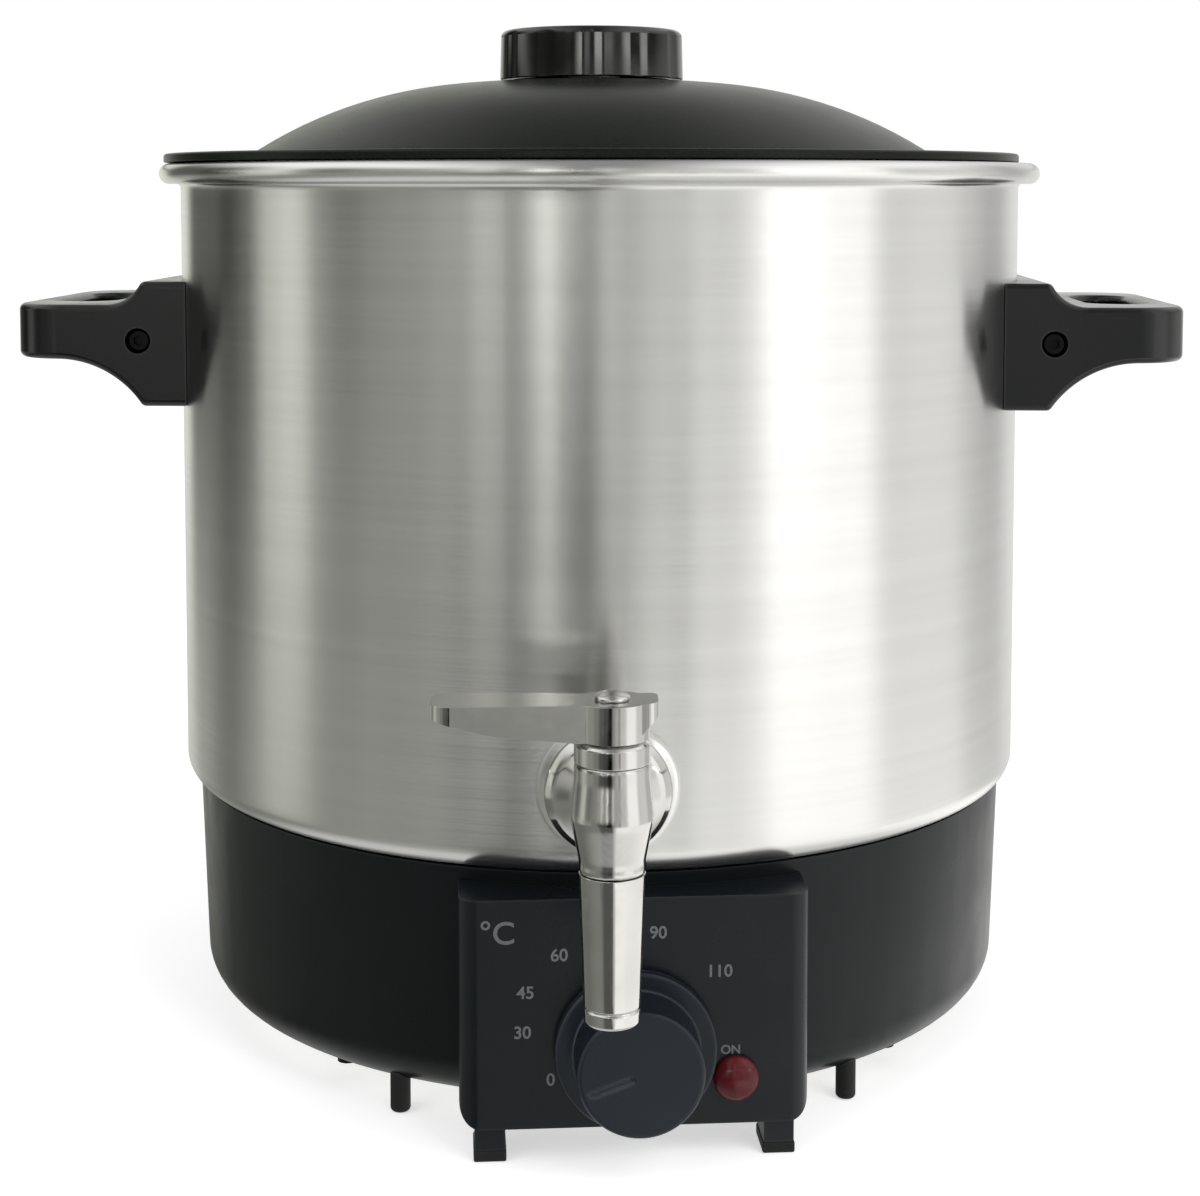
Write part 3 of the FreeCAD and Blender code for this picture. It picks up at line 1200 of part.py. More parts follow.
def tap_spout():
    """Tapered spout with a groove above its lip."""
    taper = "(valve_neck - spout_tip_radius) / (valve_low - spout_low)"
    groove = "(spout_low + spout_lip)"
    at_groove = f"(spout_tip_radius + {taper} * spout_lip)"
    spout = turned("spout", [
        ("spout_bore", "spout_low"),
        ("spout_tip_radius - 1", "spout_low", "1", 1),
        ("spout_tip_radius", "spout_low + 1"),
        (at_groove, groove),
        (f"{at_groove} - spout_groove", f"{groove} + 0.3"),
        (f"{at_groove} - spout_groove", f"{groove} + 0.6"),
        (at_groove, f"{groove} + 0.9"),
        ("valve_neck", "valve_low"),
        ("spout_bore - 0.5", "valve_low"),
        ("spout_bore", "spout_low + spout_bore_length"),
    ])
    node("tap_spout", at_spout(spout))


pot()
lid_shell()
lid_knob()
handles()
base_shell()
bottom_cover()
control_box()
peg_feet()
dial()
thermostat()
lamp()
heating()
controls_below_plate()
terminals()
cord_inlet()
tap_body()
tap_fixings()
tap_upper()
tap_lever()
tap_spout()
doc.recompute()

# ---- Checks, then one STEP file for each node ----

faults = [f"{thing.Label}: {thing.State}" for thing in doc.Objects if {"Invalid", "Error"} & set(thing.State)]
for made in NODES:
    if made.Shape.isNull() or not made.Shape.isValid() or not made.Shape.Solids:
        faults.append(f"{made.Label}: no valid solid")
if faults:
    raise RuntimeError("\n".join(faults))

os.makedirs("parts", exist_ok=True)
for made in NODES:
    made.Shape.exportStep(f"parts/{made.Label}.step")
    print(made.Label, len(made.Shape.Solids), "solid(s)", round(made.Shape.Volume), "mm3")
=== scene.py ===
import json
import math

import bmesh
import bpy
from mathutils import Matrix, Vector


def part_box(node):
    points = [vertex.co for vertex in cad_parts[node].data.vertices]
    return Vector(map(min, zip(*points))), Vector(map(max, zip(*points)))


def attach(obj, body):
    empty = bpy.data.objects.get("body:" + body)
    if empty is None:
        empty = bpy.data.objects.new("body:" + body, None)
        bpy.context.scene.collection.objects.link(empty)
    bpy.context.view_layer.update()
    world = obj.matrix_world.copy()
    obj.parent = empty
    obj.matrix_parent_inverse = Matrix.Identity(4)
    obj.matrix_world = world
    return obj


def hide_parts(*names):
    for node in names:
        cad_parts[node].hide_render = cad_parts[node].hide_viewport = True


# Looks of the candle wax melter. Pieces are drawn in millimetres about the pot's axis, with the
# floor at Z = 0 and the front towards -Y, and their meshes hold metres. Outlines are lists of
# (radius, height).

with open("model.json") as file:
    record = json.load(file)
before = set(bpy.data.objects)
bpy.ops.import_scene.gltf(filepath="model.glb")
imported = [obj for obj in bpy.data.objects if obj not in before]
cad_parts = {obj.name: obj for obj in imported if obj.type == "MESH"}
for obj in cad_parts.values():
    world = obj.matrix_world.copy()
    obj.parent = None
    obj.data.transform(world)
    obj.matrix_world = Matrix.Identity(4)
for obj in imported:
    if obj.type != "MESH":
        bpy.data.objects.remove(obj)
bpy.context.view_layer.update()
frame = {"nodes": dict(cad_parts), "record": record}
nodes = frame["nodes"]
scene = bpy.context.scene

MM = 0.001
PLATE_RADIUS = 100
POT_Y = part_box("heating_plate")[0].y / MM + PLATE_RADIUS  # the pot's axis, from the frame's origin
BASE_TURN = 3  # degrees by which the base and its control box are turned
HANDLE_TURN = -4  # and the handles
LID_SHIFT = -2.5  # the lid sits a little to the left
SHEET = 1  # thickness of the pot's and the lid's metal
WALL = 130  # outer radius of the pot
TAP_HEIGHT = 97.5
SPOUT_Y = -175
BOX_FRONT = -135  # the control box's face
DIAL_HEIGHT = 30
ON_AXIS = 1e-4  # an outline's points nearer than this to the axis are on it
SHARP = 32  # degrees; an edge that folds more stays sharp


# ---- Setting pieces down ----


def stand(turn=0, across=0, along=0, height=0, facing_front=False):
    """Place of a piece that is drawn about its own axis.

    It is moved from the pot's axis, and then turned about that axis by degrees. With facing_front
    its own Z axis points to the front.
    """
    place = Matrix.Translation((0, POT_Y * MM, 0)) @ Matrix.Rotation(math.radians(turn), 4, "Z")
    place = place @ Matrix.Translation((across * MM, along * MM, height * MM))
    if facing_front:
        place = place @ Matrix.Rotation(math.radians(90), 4, "X")
    return place


def set_down(name, mesh, look, body, place, instead=()):
    """Makes the object, with its finish, on its body, in place of the CAD nodes named."""
    made = bpy.data.objects.new(name, mesh)
    scene.collection.objects.link(made)
    made.matrix_world = place
    mesh.materials.clear()
    mesh.materials.append(LOOKS[look])
    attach(made, body)
    if instead:
        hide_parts(*instead)
    return made


def replace(node, name, mesh, place, look=None):
    """Sets the mesh down in place of one CAD node, on its body and with its finish."""
    return set_down(name, mesh, look or SLOT_OF[node], BODY_OF[node], place, (node,))


def weigh(made):
    """Keeps flat faces evenly lit beside their rounded edges."""
    weighted = made.modifiers.new("weighted", "WEIGHTED_NORMAL")
    weighted.keep_sharp = True


def smooth(mesh, angle):
    for face in mesh.polygons:
        face.use_smooth = True
    mesh.set_sharp_from_angle(angle=math.radians(angle))


def to_mesh(bm, name, angle=SHARP):
    """Mesh of a closed bmesh, facing outwards, with none of the CAD surface's own shading."""
    bmesh.ops.recalc_face_normals(bm, faces=bm.faces)
    mesh = bpy.data.meshes.new(name)
    bm.to_mesh(mesh)
    bm.free()
    for layer in ("custom_normal", "sharp_edge", "sharp_face"):
        if layer in mesh.attributes:
            mesh.attributes.remove(mesh.attributes[layer])
    smooth(mesh, angle)
    return mesh


def clamp(value):
    return min(max(value, 0), 1)


# ---- Turned pieces ----


def even(count):
    """Turns, in radians, that part the circle evenly."""
    return [math.tau * i / count for i in range(count)]


def from_middle(around, count):
    """How far a turn is from the middle of the nearest of so many even parts of the circle."""
    part = math.tau / count
    return (around + part / 2) % part - part / 2


def arc(middle, radii, start, end, steps):
    """Outline of an arc. Its angles are degrees from straight down, by way of outwards."""
    turns = [math.radians(start + (end - start) * i / steps) for i in range(steps + 1)]
    return [(middle[0] + radii[0] * math.sin(a), middle[1] - radii[1] * math.cos(a)) for a in turns]


def eased(corners, steps):
    """The closed outline with its corners rounded.

    A corner is (radius, height) or (radius, height, rounding), and steps are made in each rounding.
    """
    points = []
    count = len(corners)
    for i, corner in enumerate(corners):
        here = Vector(corner[:2])
        rounding = corner[2] if len(corner) > 2 else 0
        if not rounding:
            points.append(here)
            continue
        before = (Vector(corners[i - 1][:2]) - here).normalized()
        after = (Vector(corners[(i + 1) % count][:2]) - here).normalized()
        opening = before.angle(after)
        reach = rounding / math.tan(opening / 2)
        middle = here + (before + after).normalized() * (rounding / math.sin(opening / 2))
        start, end = here + before * reach - middle, here + after * reach - middle
        turn = start.angle_signed(end)
        for step in range(steps + 1):
            spun = start.copy()
            spun.rotate(Matrix.Rotation(-turn * step / steps, 2))
            points.append(middle + spun)
    return points


def lathe(name, outline, turns, angle=SHARP, shape=None):
    """Mesh of a closed outline turned about Z, with a row of points at each of the turns.

    shape may move a point: it takes the radius, height and turn, and gives radius and height.
    """
    bm = bmesh.new()
    rings = []
    for radius, height in outline:
        if radius < ON_AXIS:
            rings.append([bm.verts.new((0, 0, height * MM))])
            continue
        ring = []
        for around in turns:
            r, z = shape(radius, height, around) if shape else (radius, height)
            spot = (r * math.cos(around) * MM, r * math.sin(around) * MM, z * MM)
            ring.append(bm.verts.new(spot))
        rings.append(ring)
    for first, second in zip(rings, rings[1:] + rings[:1]):
        if len(first) == 1 and len(second) == 1:
            continue
        for i in range(len(turns)):
            j = (i + 1) % len(turns)
            if len(first) == 1:
                bm.faces.new((first[0], second[i], second[j]))
            elif len(second) == 1:
                bm.faces.new((first[i], first[j], second[0]))
            else:
                bm.faces.new((first[i], first[j], second[j], second[i]))
    return to_mesh(bm, name, angle)


# ---- Finishes ----

LOOKS = {}

WEAR_AND_HIGHLIGHT_WIDTH = 1.1  # of the paler edges of moulded plastic, which are partly rubbed wear and partly a painted highlight
MILL_GRAIN = 400  # fineness of plain metal's grain
MILL_GRAIN_DEPTH = 0.01

# Name, colour, colour of its edges (rubbed wear and a painted edge highlight), roughness, grain,
# depth of the grain, specular level.
MOULDED = [
    ("knob_bakelite", (0.003, 0.0033, 0.003), (0.012, 0.012, 0.012), 0.1, 700, 0.003, 0.6),
    ("handle_plastic", (0.0035, 0.0039, 0.0046), (0.035, 0.037, 0.04), 0.17, 1100, 0.02, 0.4),
    ("base_plastic", (0.0045, 0.0062, 0.007), (0.022, 0.026, 0.03), 0.3, 1000, 0.025, 0.18),
    ("panel_plastic", (0.0065, 0.0088, 0.0115), (0.026, 0.031, 0.036), 0.3, 1000, 0.025, 0.25),
    ("dial_plastic", (0.011, 0.0155, 0.022), (0.12, 0.135, 0.155), 0.28, 1200, 0.02, 0.25),
    ("foot_rubber", (0.012, 0.012, 0.012), (0.03, 0.03, 0.03), 0.62, 800, 0.06, 0.25),
    ("inner_plastic", (0.55, 0.53, 0.48), (0.66, 0.64, 0.6), 0.42, 800, 0.02, 0.25),
    ("ceramic", (0.72, 0.7, 0.66), (0.8, 0.78, 0.75), 0.5, 900, 0.05, 0.25),
    ("seal_silicone", (0.42, 0.4, 0.36), (0.5, 0.48, 0.44), 0.48, 500, 0.03, 0.25),
]

# Name, colour, roughness.
SHEET_METALS = [
    ("heater_aluminium", (0.72, 0.72, 0.73), 0.42),
    ("element_steel", (0.30, 0.28, 0.26), 0.45),
    ("plated_steel", (0.62, 0.62, 0.60), 0.3),
    ("copper", (0.72, 0.40, 0.28), 0.32),
    ("brass", (0.72, 0.55, 0.25), 0.3),
    ("cover_steel", (0.55, 0.55, 0.54), 0.42),
    ("black_steel", (0.016, 0.016, 0.017), 0.42),
]


class Nodes:
    """A node tree under construction. Inputs are fed with other nodes' outputs or with values."""

    def __init__(self, tree):
        self.tree = tree
        tree.nodes.clear()

    def feed(self, socket, value):
        if isinstance(value, bpy.types.NodeSocket):
            self.tree.links.new(value, socket)
        elif isinstance(value, (tuple, list)) and len(value) == 3 and socket.type == "RGBA":
            socket.default_value = (*value, 1)
        else:
            socket.default_value = value

    def add(self, kind, settings=None, **inputs):
        """Makes a node, and feeds its inputs by name, or by number as i0, i1 and so on."""
        made = self.tree.nodes.new("ShaderNode" + kind)
        for key, value in (settings or {}).items():
            setattr(made, key, value)
        for key, value in inputs.items():
            numbered = key[0] == "i" and key[1:].isdigit()
            self.feed(made.inputs[int(key[1:]) if numbered else key.replace("_", " ")], value)
        return made

    def calc(self, operation, *values):
        """Output of a Math node."""
        inputs = {f"i{n}": value for n, value in enumerate(values)}
        return self.add("Math", {"operation": operation}, **inputs).outputs[0]

    def between(self, value, low, high, start=0.3, end=0.7):
        """From low to high while the value goes from start to end."""
        ends = {"From_Min": start, "From_Max": end, "To_Min": low, "To_Max": high}
        return self.add("MapRange", Value=value, **ends).outputs[0]

    def step(self, value, start, end):
        """From 0 to 1, softly, while the value goes from start to end."""
        settings = {"interpolation_type": "SMOOTHSTEP"}
        return self.add("MapRange", settings, Value=value, From_Min=start, From_Max=end).outputs[0]

    def tint(self, factor, first, second):
        """From the first colour to the second while the factor goes from 0 to 1."""
        return self.add("Mix", {"data_type": "RGBA"}, i0=factor, i6=first, i7=second).outputs[2]


class Finish(Nodes):
    """A material under construction, with one shader."""

    def __init__(self, name, **surface):
        made = bpy.data.materials.new(name)
        made.use_nodes = True
        super().__init__(made.node_tree)
        self.shader = self.add("BsdfPrincipled", **surface)
        self.add("OutputMaterial", Surface=self.shader.outputs[0])
        self.at = self.add("TexCoord").outputs["Object"]
        LOOKS[name] = made

    def set(self, **inputs):
        for key, value in inputs.items():
            self.feed(self.shader.inputs[key.replace("_", " ")], value)

    def stretched(self, scale):
        return self.add("Mapping", Vector=self.at, Scale=scale).outputs[0]

    def noise(self, scale, detail, vector=None, rough=0.5):
        vector = vector or self.at
        made = self.add("TexNoise", Vector=vector, Scale=scale, Detail=detail, Roughness=rough)
        return made.outputs[0]

    def bump(self, height, depth, strength, **below):
        """Bump of a depth in millimetres. A bump below it may be given as Normal."""
        made = self.add("Bump", Height=height, Distance=depth * MM, Strength=strength, **below)
        return made.outputs[0]

    def edge_wear_and_highlight(self):
        """1 along the sharp edges, 0 elsewhere: where edges are made paler, as rubbed wear and as a
        painted highlight.
        """
        softened = self.add("Bevel", {"samples": 4}, Radius=WEAR_AND_HIGHLIGHT_WIDTH * MM).outputs[0]
        plain = self.add("NewGeometry").outputs["Normal"]
        alike = self.add("VectorMath", {"operation": "DOT_PRODUCT"}, i0=softened, i1=plain)
        return self.between(alike.outputs["Value"], 1.0, 0.0, 0.8, 0.99)


def moulded(name, colour, wear_and_highlight_colour, roughness, grain, depth, specular):
    """Moulded plastic: fine grain, uneven gloss, and paler edges, partly rubbed wear and partly a
    painted highlight where light would catch them.
    """
    it = Finish(name, Specular_IOR_Level=specular)
    darker, paler = [c * 0.9 for c in colour], [c * 1.12 for c in colour]
    uneven = it.tint(it.between(it.noise(14, 2), 0, 1), darker, paler)
    # Sharp edges are made paler: partly rubbed wear, partly a painted highlight.
    it.set(Base_Color=it.tint(it.edge_wear_and_highlight(), uneven, wear_and_highlight_colour))
    it.set(Roughness=it.between(it.noise(45, 3), roughness - 0.05, roughness + 0.06))
    it.set(Normal=it.bump(it.noise(grain, 4), depth, 0.8))


def sheet_metal(name, colour, roughness):
    """Plain metal with fine mill grain."""
    it = Finish(name, Metallic=1.0)
    fine = it.noise(1, 3, it.stretched((MILL_GRAIN, MILL_GRAIN * 0.12, MILL_GRAIN)))
    broad = it.between(it.noise(22, 3), 0, 1)
    it.set(Base_Color=it.tint(broad, [c * 0.86 for c in colour], colour))
    it.set(Roughness=it.between(fine, roughness - 0.06, roughness + 0.08))
    it.set(Normal=it.bump(fine, MILL_GRAIN_DEPTH, 0.6))


def finishes():
    # Pot: steel brushed round the pot, so that light runs up and down it in bands.
    it = Finish("steel_satin", Metallic=1.0, Anisotropic=0.9, Anisotropic_Rotation=0.25)
    lines = it.noise(1, 4, it.stretched((9, 9, 2600)), 0.65)
    wide = it.between(it.noise(1, 3, it.stretched((4, 4, 240))), 0, 1)
    dents = it.noise(1, 2, it.stretched((14, 14, 2.5)))
    it.set(Base_Color=it.tint(wide, (0.618, 0.615, 0.603), (0.65, 0.648, 0.638)))
    it.set(Roughness=it.between(lines, 0.2, 0.27))
    it.set(Tangent=it.add("Tangent", {"direction_type": "RADIAL", "axis": "Z"}).outputs[0])
    it.set(Normal=it.bump(lines, 0.0006, 0.5, Normal=it.bump(dents, 0.5, 0.5)))

    # Lid: dark enamel with a fine even speckle in its surface.
    it = Finish("lid_paint", Specular_IOR_Level=0.13)
    speck = it.noise(1500, 3)
    speckled = it.between(speck, 0, 1, 0.35, 0.65)
    it.set(Base_Color=it.tint(speckled, (0.004, 0.0055, 0.004), (0.009, 0.011, 0.008)))
    it.set(Roughness=it.between(it.noise(30, 3), 0.25, 0.31))
    it.set(Normal=it.bump(speck, 0.012, 0.5, Normal=it.bump(it.noise(260, 2), 0.03, 0.4)))

    # Lamp: dark red, clouded plastic.
    it = Finish("red_lens", Specular_IOR_Level=0.25)
    swirl = it.noise(240, 3)
    it.set(Base_Color=it.tint(it.between(swirl, 0, 1), (0.075, 0.008, 0.012), (0.14, 0.013, 0.02)))
    it.set(Roughness=it.between(it.noise(90, 2), 0.1, 0.2))
    it.set(Normal=it.bump(swirl, 0.04, 0.6))

    # Tap: chrome over an uneven casting.
    it = Finish("chrome_tap", Metallic=1.0)
    cloudy = it.between(it.noise(60, 3), 0, 1)
    it.set(Base_Color=it.tint(cloudy, (0.48, 0.476, 0.458), (0.55, 0.546, 0.53)))
    it.set(Roughness=it.between(it.noise(300, 3), 0.07, 0.15))
    it.set(Normal=it.bump(it.noise(120, 2), 0.08, 0.6))

    # Print on the control box: thin grey ink.
    it = Finish("print_grey", Roughness=0.6, Specular_IOR_Level=0.25)
    thin = it.between(it.noise(1800, 3), 0, 1)
    it.set(Base_Color=it.tint(thin, (0.12, 0.13, 0.13), (0.2, 0.21, 0.21)))

    for row in MOULDED:
        moulded(*row)
    for row in SHEET_METALS:
        sheet_metal(*row)


def dress(node, look):
    """Gives a CAD piece its finish."""
    materials = nodes[node].data.materials
    for i in range(len(materials)):
        materials[i] = LOOKS[look]


BODIES = frame["record"]["behaviour"]["bodies"]
BODY_OF = {node: body for body, members in BODIES.items() for node in members}
# A CAD piece carries its slot's name as its material's, maybe with a number after a point.
SLOT_OF = {node: made.data.materials[0].name.split(".")[0] for node, made in nodes.items()}

finishes()
for node, slot in SLOT_OF.items():
    dress(node, slot)
dress("bottom_cover_screws", "black_steel")


# ---- Pot and lid ----


def near_tap(radius, height, around):
    """The pot's wall with the flat tap seat pressed out of it."""
    seat_reach, ease_width, proud = 18.5, 3.5, 0.6
    x, y = radius * math.cos(around), radius * math.sin(around)
    off = math.hypot(x, height - TAP_HEIGHT)
    if y > 0 or off > seat_reach or radius > WALL + 1:
        return radius, height
    flat = (radius + proud) / math.sqrt(max(1 - (x / radius) ** 2, 0.1))
    ease = clamp((seat_reach - off) / ease_width)
    ease = ease * ease * (3 - 2 * ease)
    return radius + (max(flat, radius) - radius) * ease, height


def pot():
    """The drawn tank, from the middle of its underside over the rolled rim to its floor."""
    corner, corner_radius = (124, 80), 6
    underside = corner[1] - corner_radius
    rim_height, bead_radius = 258, 3.1
    inner = WALL - SHEET
    # Rows of points lie closer beside the tap than elsewhere, both upwards and round the pot.
    close = [82 + i * 0.7 for i in range(62)]
    turns = [math.radians(-102 + 0.3 * i) for i in range(81)]
    turns += [math.radians(-78 + 2 * i) for i in range(1, 168)]

    outline = [(0, underside), (60, underside), (110, underside)]
    outline += arc(corner, (corner_radius, corner_radius), 0, 90, 8)
    outline += [(WALL, z) for z in close + [140, 180, 220, 250, 253]]
    # A crease under the rim's bead, the bead, and its inner side down into the tank.
    outline += [(130.08, 253.9), (130.4, 254.6), (130.9, 254.98), (131.6, 254.9)]
    outline += arc((133.4, rim_height), (bead_radius - 0.05, bead_radius), -15, 180, 18)
    outline += arc((inner + bead_radius, rim_height), (bead_radius, bead_radius), 180, 270, 8)
    outline += [(inner, z) for z in [220, 140] + close[::-1]]
    outline += arc(corner, (corner_radius - SHEET, corner_radius - SHEET), 90, 0, 6)
    outline += [(110, underside + SHEET), (60, underside + SHEET), (0, underside + SHEET)]
    replace("pot", "pot_steel", lathe("pot_steel", outline, turns, 40, near_tap), stand())


def lid():
    """The lid's pressing: crown and shoulder, a gutter round them, and an edge over the rim."""
    seat, top = 261.4, 287.8  # heights of the edge's underside and of the crown's middle
    crown, crown_fall = 45, 2.2  # the crown's radius, and how much lower it ends
    shoulder = 108.5  # radius at which the shoulder ends, at the flange's height
    wall = WALL - SHEET - 2.8
    flange = seat + SHEET
    gutter = flange - 3.8

    run, fall = shoulder - crown, top - flange - crown_fall
    crown_arc = (crown**2 + crown_fall**2) / (2 * crown_fall)
    slope = crown / crown_arc
    shoulder_arc = (run**2 + fall**2) / (2 * (fall * (1 - crown_fall / crown_arc) - run * slope))
    # The shoulder's arc leaves the crown's smoothly, so their centres are in line.
    middle_r = crown - shoulder_arc * slope
    middle_z = top - crown_fall - shoulder_arc * math.sqrt(1 - slope**2)
    upper = [(r, top - crown_arc + math.sqrt(crown_arc**2 - r**2)) for r in range(0, 41, 8)]
    for i in range(15):
        r = crown + run * i / 14
        upper.append((r, middle_z + math.sqrt(shoulder_arc**2 - (r - middle_r) ** 2)))

    edge = [
        (111.1, gutter, 0.9), (wall - SHEET, gutter, 0.5), (wall - SHEET, flange, 1.0),
        (130.4, flange, 0.3), (130.6, seat + 2.6, 0.5), (132.6, seat + 2.6, 1.0),
        (132.6, seat, 0.3), (wall, seat, 0.4), (wall, gutter - SHEET, 0.5),
        (110.1, gutter - SHEET, 0.5),
    ]
    lower = [(max(r - 0.25, 0), z - SHEET) for r, z in reversed(upper)]
    mesh = lathe("lid_pressing", eased(upper + edge + lower, 4), even(224), 38)
    weigh(replace("lid_shell", "lid_enamel", mesh, stand(across=LID_SHIFT)))


def knob():
    """The lid's knob: a fluted cap with a hollow underside round its boss."""
    top, foot = 302.75, 287.4
    flutes, flute_radius, blend = 12, 9, 0.6

    def fluted(radius, height, around):
        off = from_middle(around, flutes)
        reach = 37.05 + 0.4 * (top - height) / (top - foot)
        inside = flute_radius**2 - (reach * math.sin(off)) ** 2
        if radius < 27 or inside <= 0:
            return radius, height
        cut = reach * math.cos(off) - math.sqrt(inside)
        share = clamp(0.5 + (radius - cut) / (2 * blend))
        return radius + (cut - radius) * share - blend * share * (1 - share), height

    outline = eased([
        (0, 303.9), (5.6, 303.9, 0.5), (6.2, 303.0, 0.5), (28.45, top, 2.2), (28.85, foot, 0.5),
        (24.3, 287.6, 0.4), (24.3, 297, 1.5), (8, 297, 1.0), (8, 288.1, 0.4), (4.3, 288.1, 0.3),
        (4.3, 299.0), (0, 299.0),
    ], 6)
    mesh = lathe("knob", outline, even(480), 50, fluted)
    weigh(replace("lid_knob", "lid_knob_fluted", mesh, stand(across=LID_SHIFT)))


# ---- Pieces with the CAD surface ----

# How far their sharp edges are rounded.
SOFT = {
    "handle_right": 0.3,
    "handle_left": 0.3,
    "base_shell": 0.5,
    "control_box": 0.6,
    "front_foot_pads": 0.5,
    "peg_feet": 0.2,
    "tap_bonnet": 0.3,
    "tap_lever": 1.2,
    "tap_lever_cap": 0.3,
    "tap_spout": 0.2,
    "cord_gland": 0.3,
}


def soften(node, width):
    """A piece made from a CAD node's surface, with its sharp edges rounded."""
    weld, flat, fold = 0.002 * MM, math.radians(0.5), math.radians(28)
    bm = bmesh.new()
    bm.from_mesh(nodes[node].data)
    bmesh.ops.remove_doubles(bm, verts=bm.verts, dist=weld)
    bmesh.ops.dissolve_limit(bm, angle_limit=flat, verts=bm.verts, edges=bm.edges)
    folds = [edge for edge in bm.edges if len(edge.link_faces) == 2]
    sharp = [edge for edge in folds if edge.calc_face_angle() > fold]
    bmesh.ops.bevel(bm, geom=sharp, offset=width * MM, segments=3, profile=0.5, affect="EDGES",
                    clamp_overlap=True)
    weigh(replace(node, node + "_soft", to_mesh(bm, node + "_soft", 45), Matrix.Identity(4)))


# ---- Control box ----


def dial():
    """The thermostat's dial: flat skirt, tapered cap, and a pointer line cut in its face."""
    face, cap_radius = 18.6, 15.2
    aim = math.radians(200)
    line_start, line_end, half_width, ease_width, depth = 2, 14.2, 1, 0.4, 0.45

    def cut(radius, height, around):
        along = radius * math.cos(around - aim)
        off = abs(radius * math.sin(around - aim))
        if height < 18 or radius > 15 or along < line_start:
            return radius, height
        ends = clamp(min(along - line_start, line_end - along) / ease_width)
        return radius, height - depth * ends * clamp((half_width - off) / ease_width)

    # Close rings of points on the face make room for the line.
    rings = [(cap_radius - i * 0.38, face) for i in range(38)]
    outline = eased([
        (3.1, 2), (6, 2, 0.3), (6, 16.2, 0.5), (13.3, 16.2, 0.8), (14, 3, 0.4), (18.8, 3),
        (18.8, 0.8), (21.2, 0.8, 0.2), (21.2, 3.8, 0.9), (16.5, 3.8, 0.4), (16.35, face, 1.1),
        *rings, (0, face), (0, 15.8), (3.1, 15.8),
    ], 6)
    mesh = lathe("dial", outline, even(480), 40, cut)
    place = stand(BASE_TURN, 0, BOX_FRONT, DIAL_HEIGHT, facing_front=True)
    weigh(replace("dial_knob", "dial_turned", mesh, place))


def lamp_cap():
    """The lamp's red cap: a shallow dome on a hollow neck."""
    outline = [(4.4, -6.9), (4.4, 0.05), (5.9, 0.05)]
    outline += arc((0, 0.9), (6.0, 2.7), 90, 180, 14)
    outline += [(0, 2.4), (3.4, 1.6), (3.4, -6.9)]
    low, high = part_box("indicator_lens")
    middle = (low + high) / 2
    across = (stand(BASE_TURN).inverted() @ middle).x / MM
    place = stand(BASE_TURN, across, BOX_FRONT, middle.z / MM, facing_front=True)
    replace("indicator_lens", "lamp_cap", lathe("lens", outline, even(96), 50), place)


def panel_print():
    """Grey print on the control box: the scale round the dial and the word over the lamp."""
    # Number, degrees to the right of straight up, and distance from the dial's middle.
    scale = [
        ("0", -110, 23.6), ("30", -81, 29.9), ("45", -62, 32.5), ("60", -38.5, 32),
        ("75", -14, 33), ("90", 11, 31), ("110", 48, 29.6),
    ]
    number_size, relief, boldness = 4.6, 0.02, 0.08
    words = [("\u00b0C", -36, 61, 8.5), ("ON", 25, 28.7, 3.3)]
    for label, turn, out in scale:
        across = out * math.sin(math.radians(turn))
        height = DIAL_HEIGHT + out * math.cos(math.radians(turn))
        words.append((label, across, height, number_size))
    upright = Matrix.Rotation(math.pi / 2, 4, "X")
    bm = bmesh.new()
    for word, across, height, size in words:
        text = bpy.data.curves.new("word", "FONT")
        text.body = word
        text.size = size * MM
        text.align_x = "CENTER"
        text.align_y = "CENTER"
        text.extrude = relief * MM
        text.offset = boldness * MM
        holder = bpy.data.objects.new("word", text)
        letters = bpy.data.meshes.new_from_object(holder)
        letters.transform(Matrix.Translation((across * MM, 0, height * MM)) @ upright)
        bm.from_mesh(letters)
        bpy.data.objects.remove(holder)
    mesh = bpy.data.meshes.new("panel_print")
    bm.to_mesh(mesh)
    bm.free()
    place = stand(BASE_TURN, 0, BOX_FRONT - relief)
    set_down("panel_print", mesh, "print_grey", "melter", place)


# ---- Tap and handle screws ----


def tap_casting():
    """The tap's body as one polished casting: wall flange, inlet and valve chamber."""
    inlet = lathe("inlet", eased([
        (4.6, -14), (8, -14, 0.5), (8, 2.6), (16.8, 2.6, 0.3), (16.8, 4.2, 1.0), (14.6, 6.6, 3.5),
        (8.8, 8.8, 2.5), (6.9, 12.5, 3), (6.9, 37), (4.6, 37),
    ], 6), even(96))
    chamber = lathe("chamber", eased([
        (4.0, 90), (8.1, 90, 0.5), (8.1, 93.2, 3), (10.2, 103.5, 9), (9.2, 113, 6),
        (9.2, 117, 0.2), (5.9, 117), (5.9, 91.9), (4.0, 91.9),
    ], 6), even(96))
    flange = Matrix.Translation((0, -WALL * MM, TAP_HEIGHT * MM))
    inlet.transform(flange @ Matrix.Rotation(math.pi / 2, 4, "X"))
    chamber.transform(Matrix.Translation((0, SPOUT_Y * MM, 0)))
    bm = bmesh.new()
    bm.from_mesh(inlet)
    bm.from_mesh(chamber)
    # Voxels make one skin of the two, and smoothing softens where they join.
    raw = bpy.data.objects.new("casting", to_mesh(bm, "casting"))
    scene.collection.objects.link(raw)
    grown = raw.modifiers.new("grown", "REMESH")
    grown.mode = "VOXEL"
    grown.voxel_size = 0.45 * MM
    softened = raw.modifiers.new("softened", "SMOOTH")
    softened.factor = 0.5
    softened.iterations = 8
    finished = raw.evaluated_get(bpy.context.evaluated_depsgraph_get())
    mesh = bpy.data.meshes.new_from_object(finished)
    bpy.data.objects.remove(raw)
    smooth(mesh, 70)
    replace("tap_body", "tap_casting", mesh, stand())


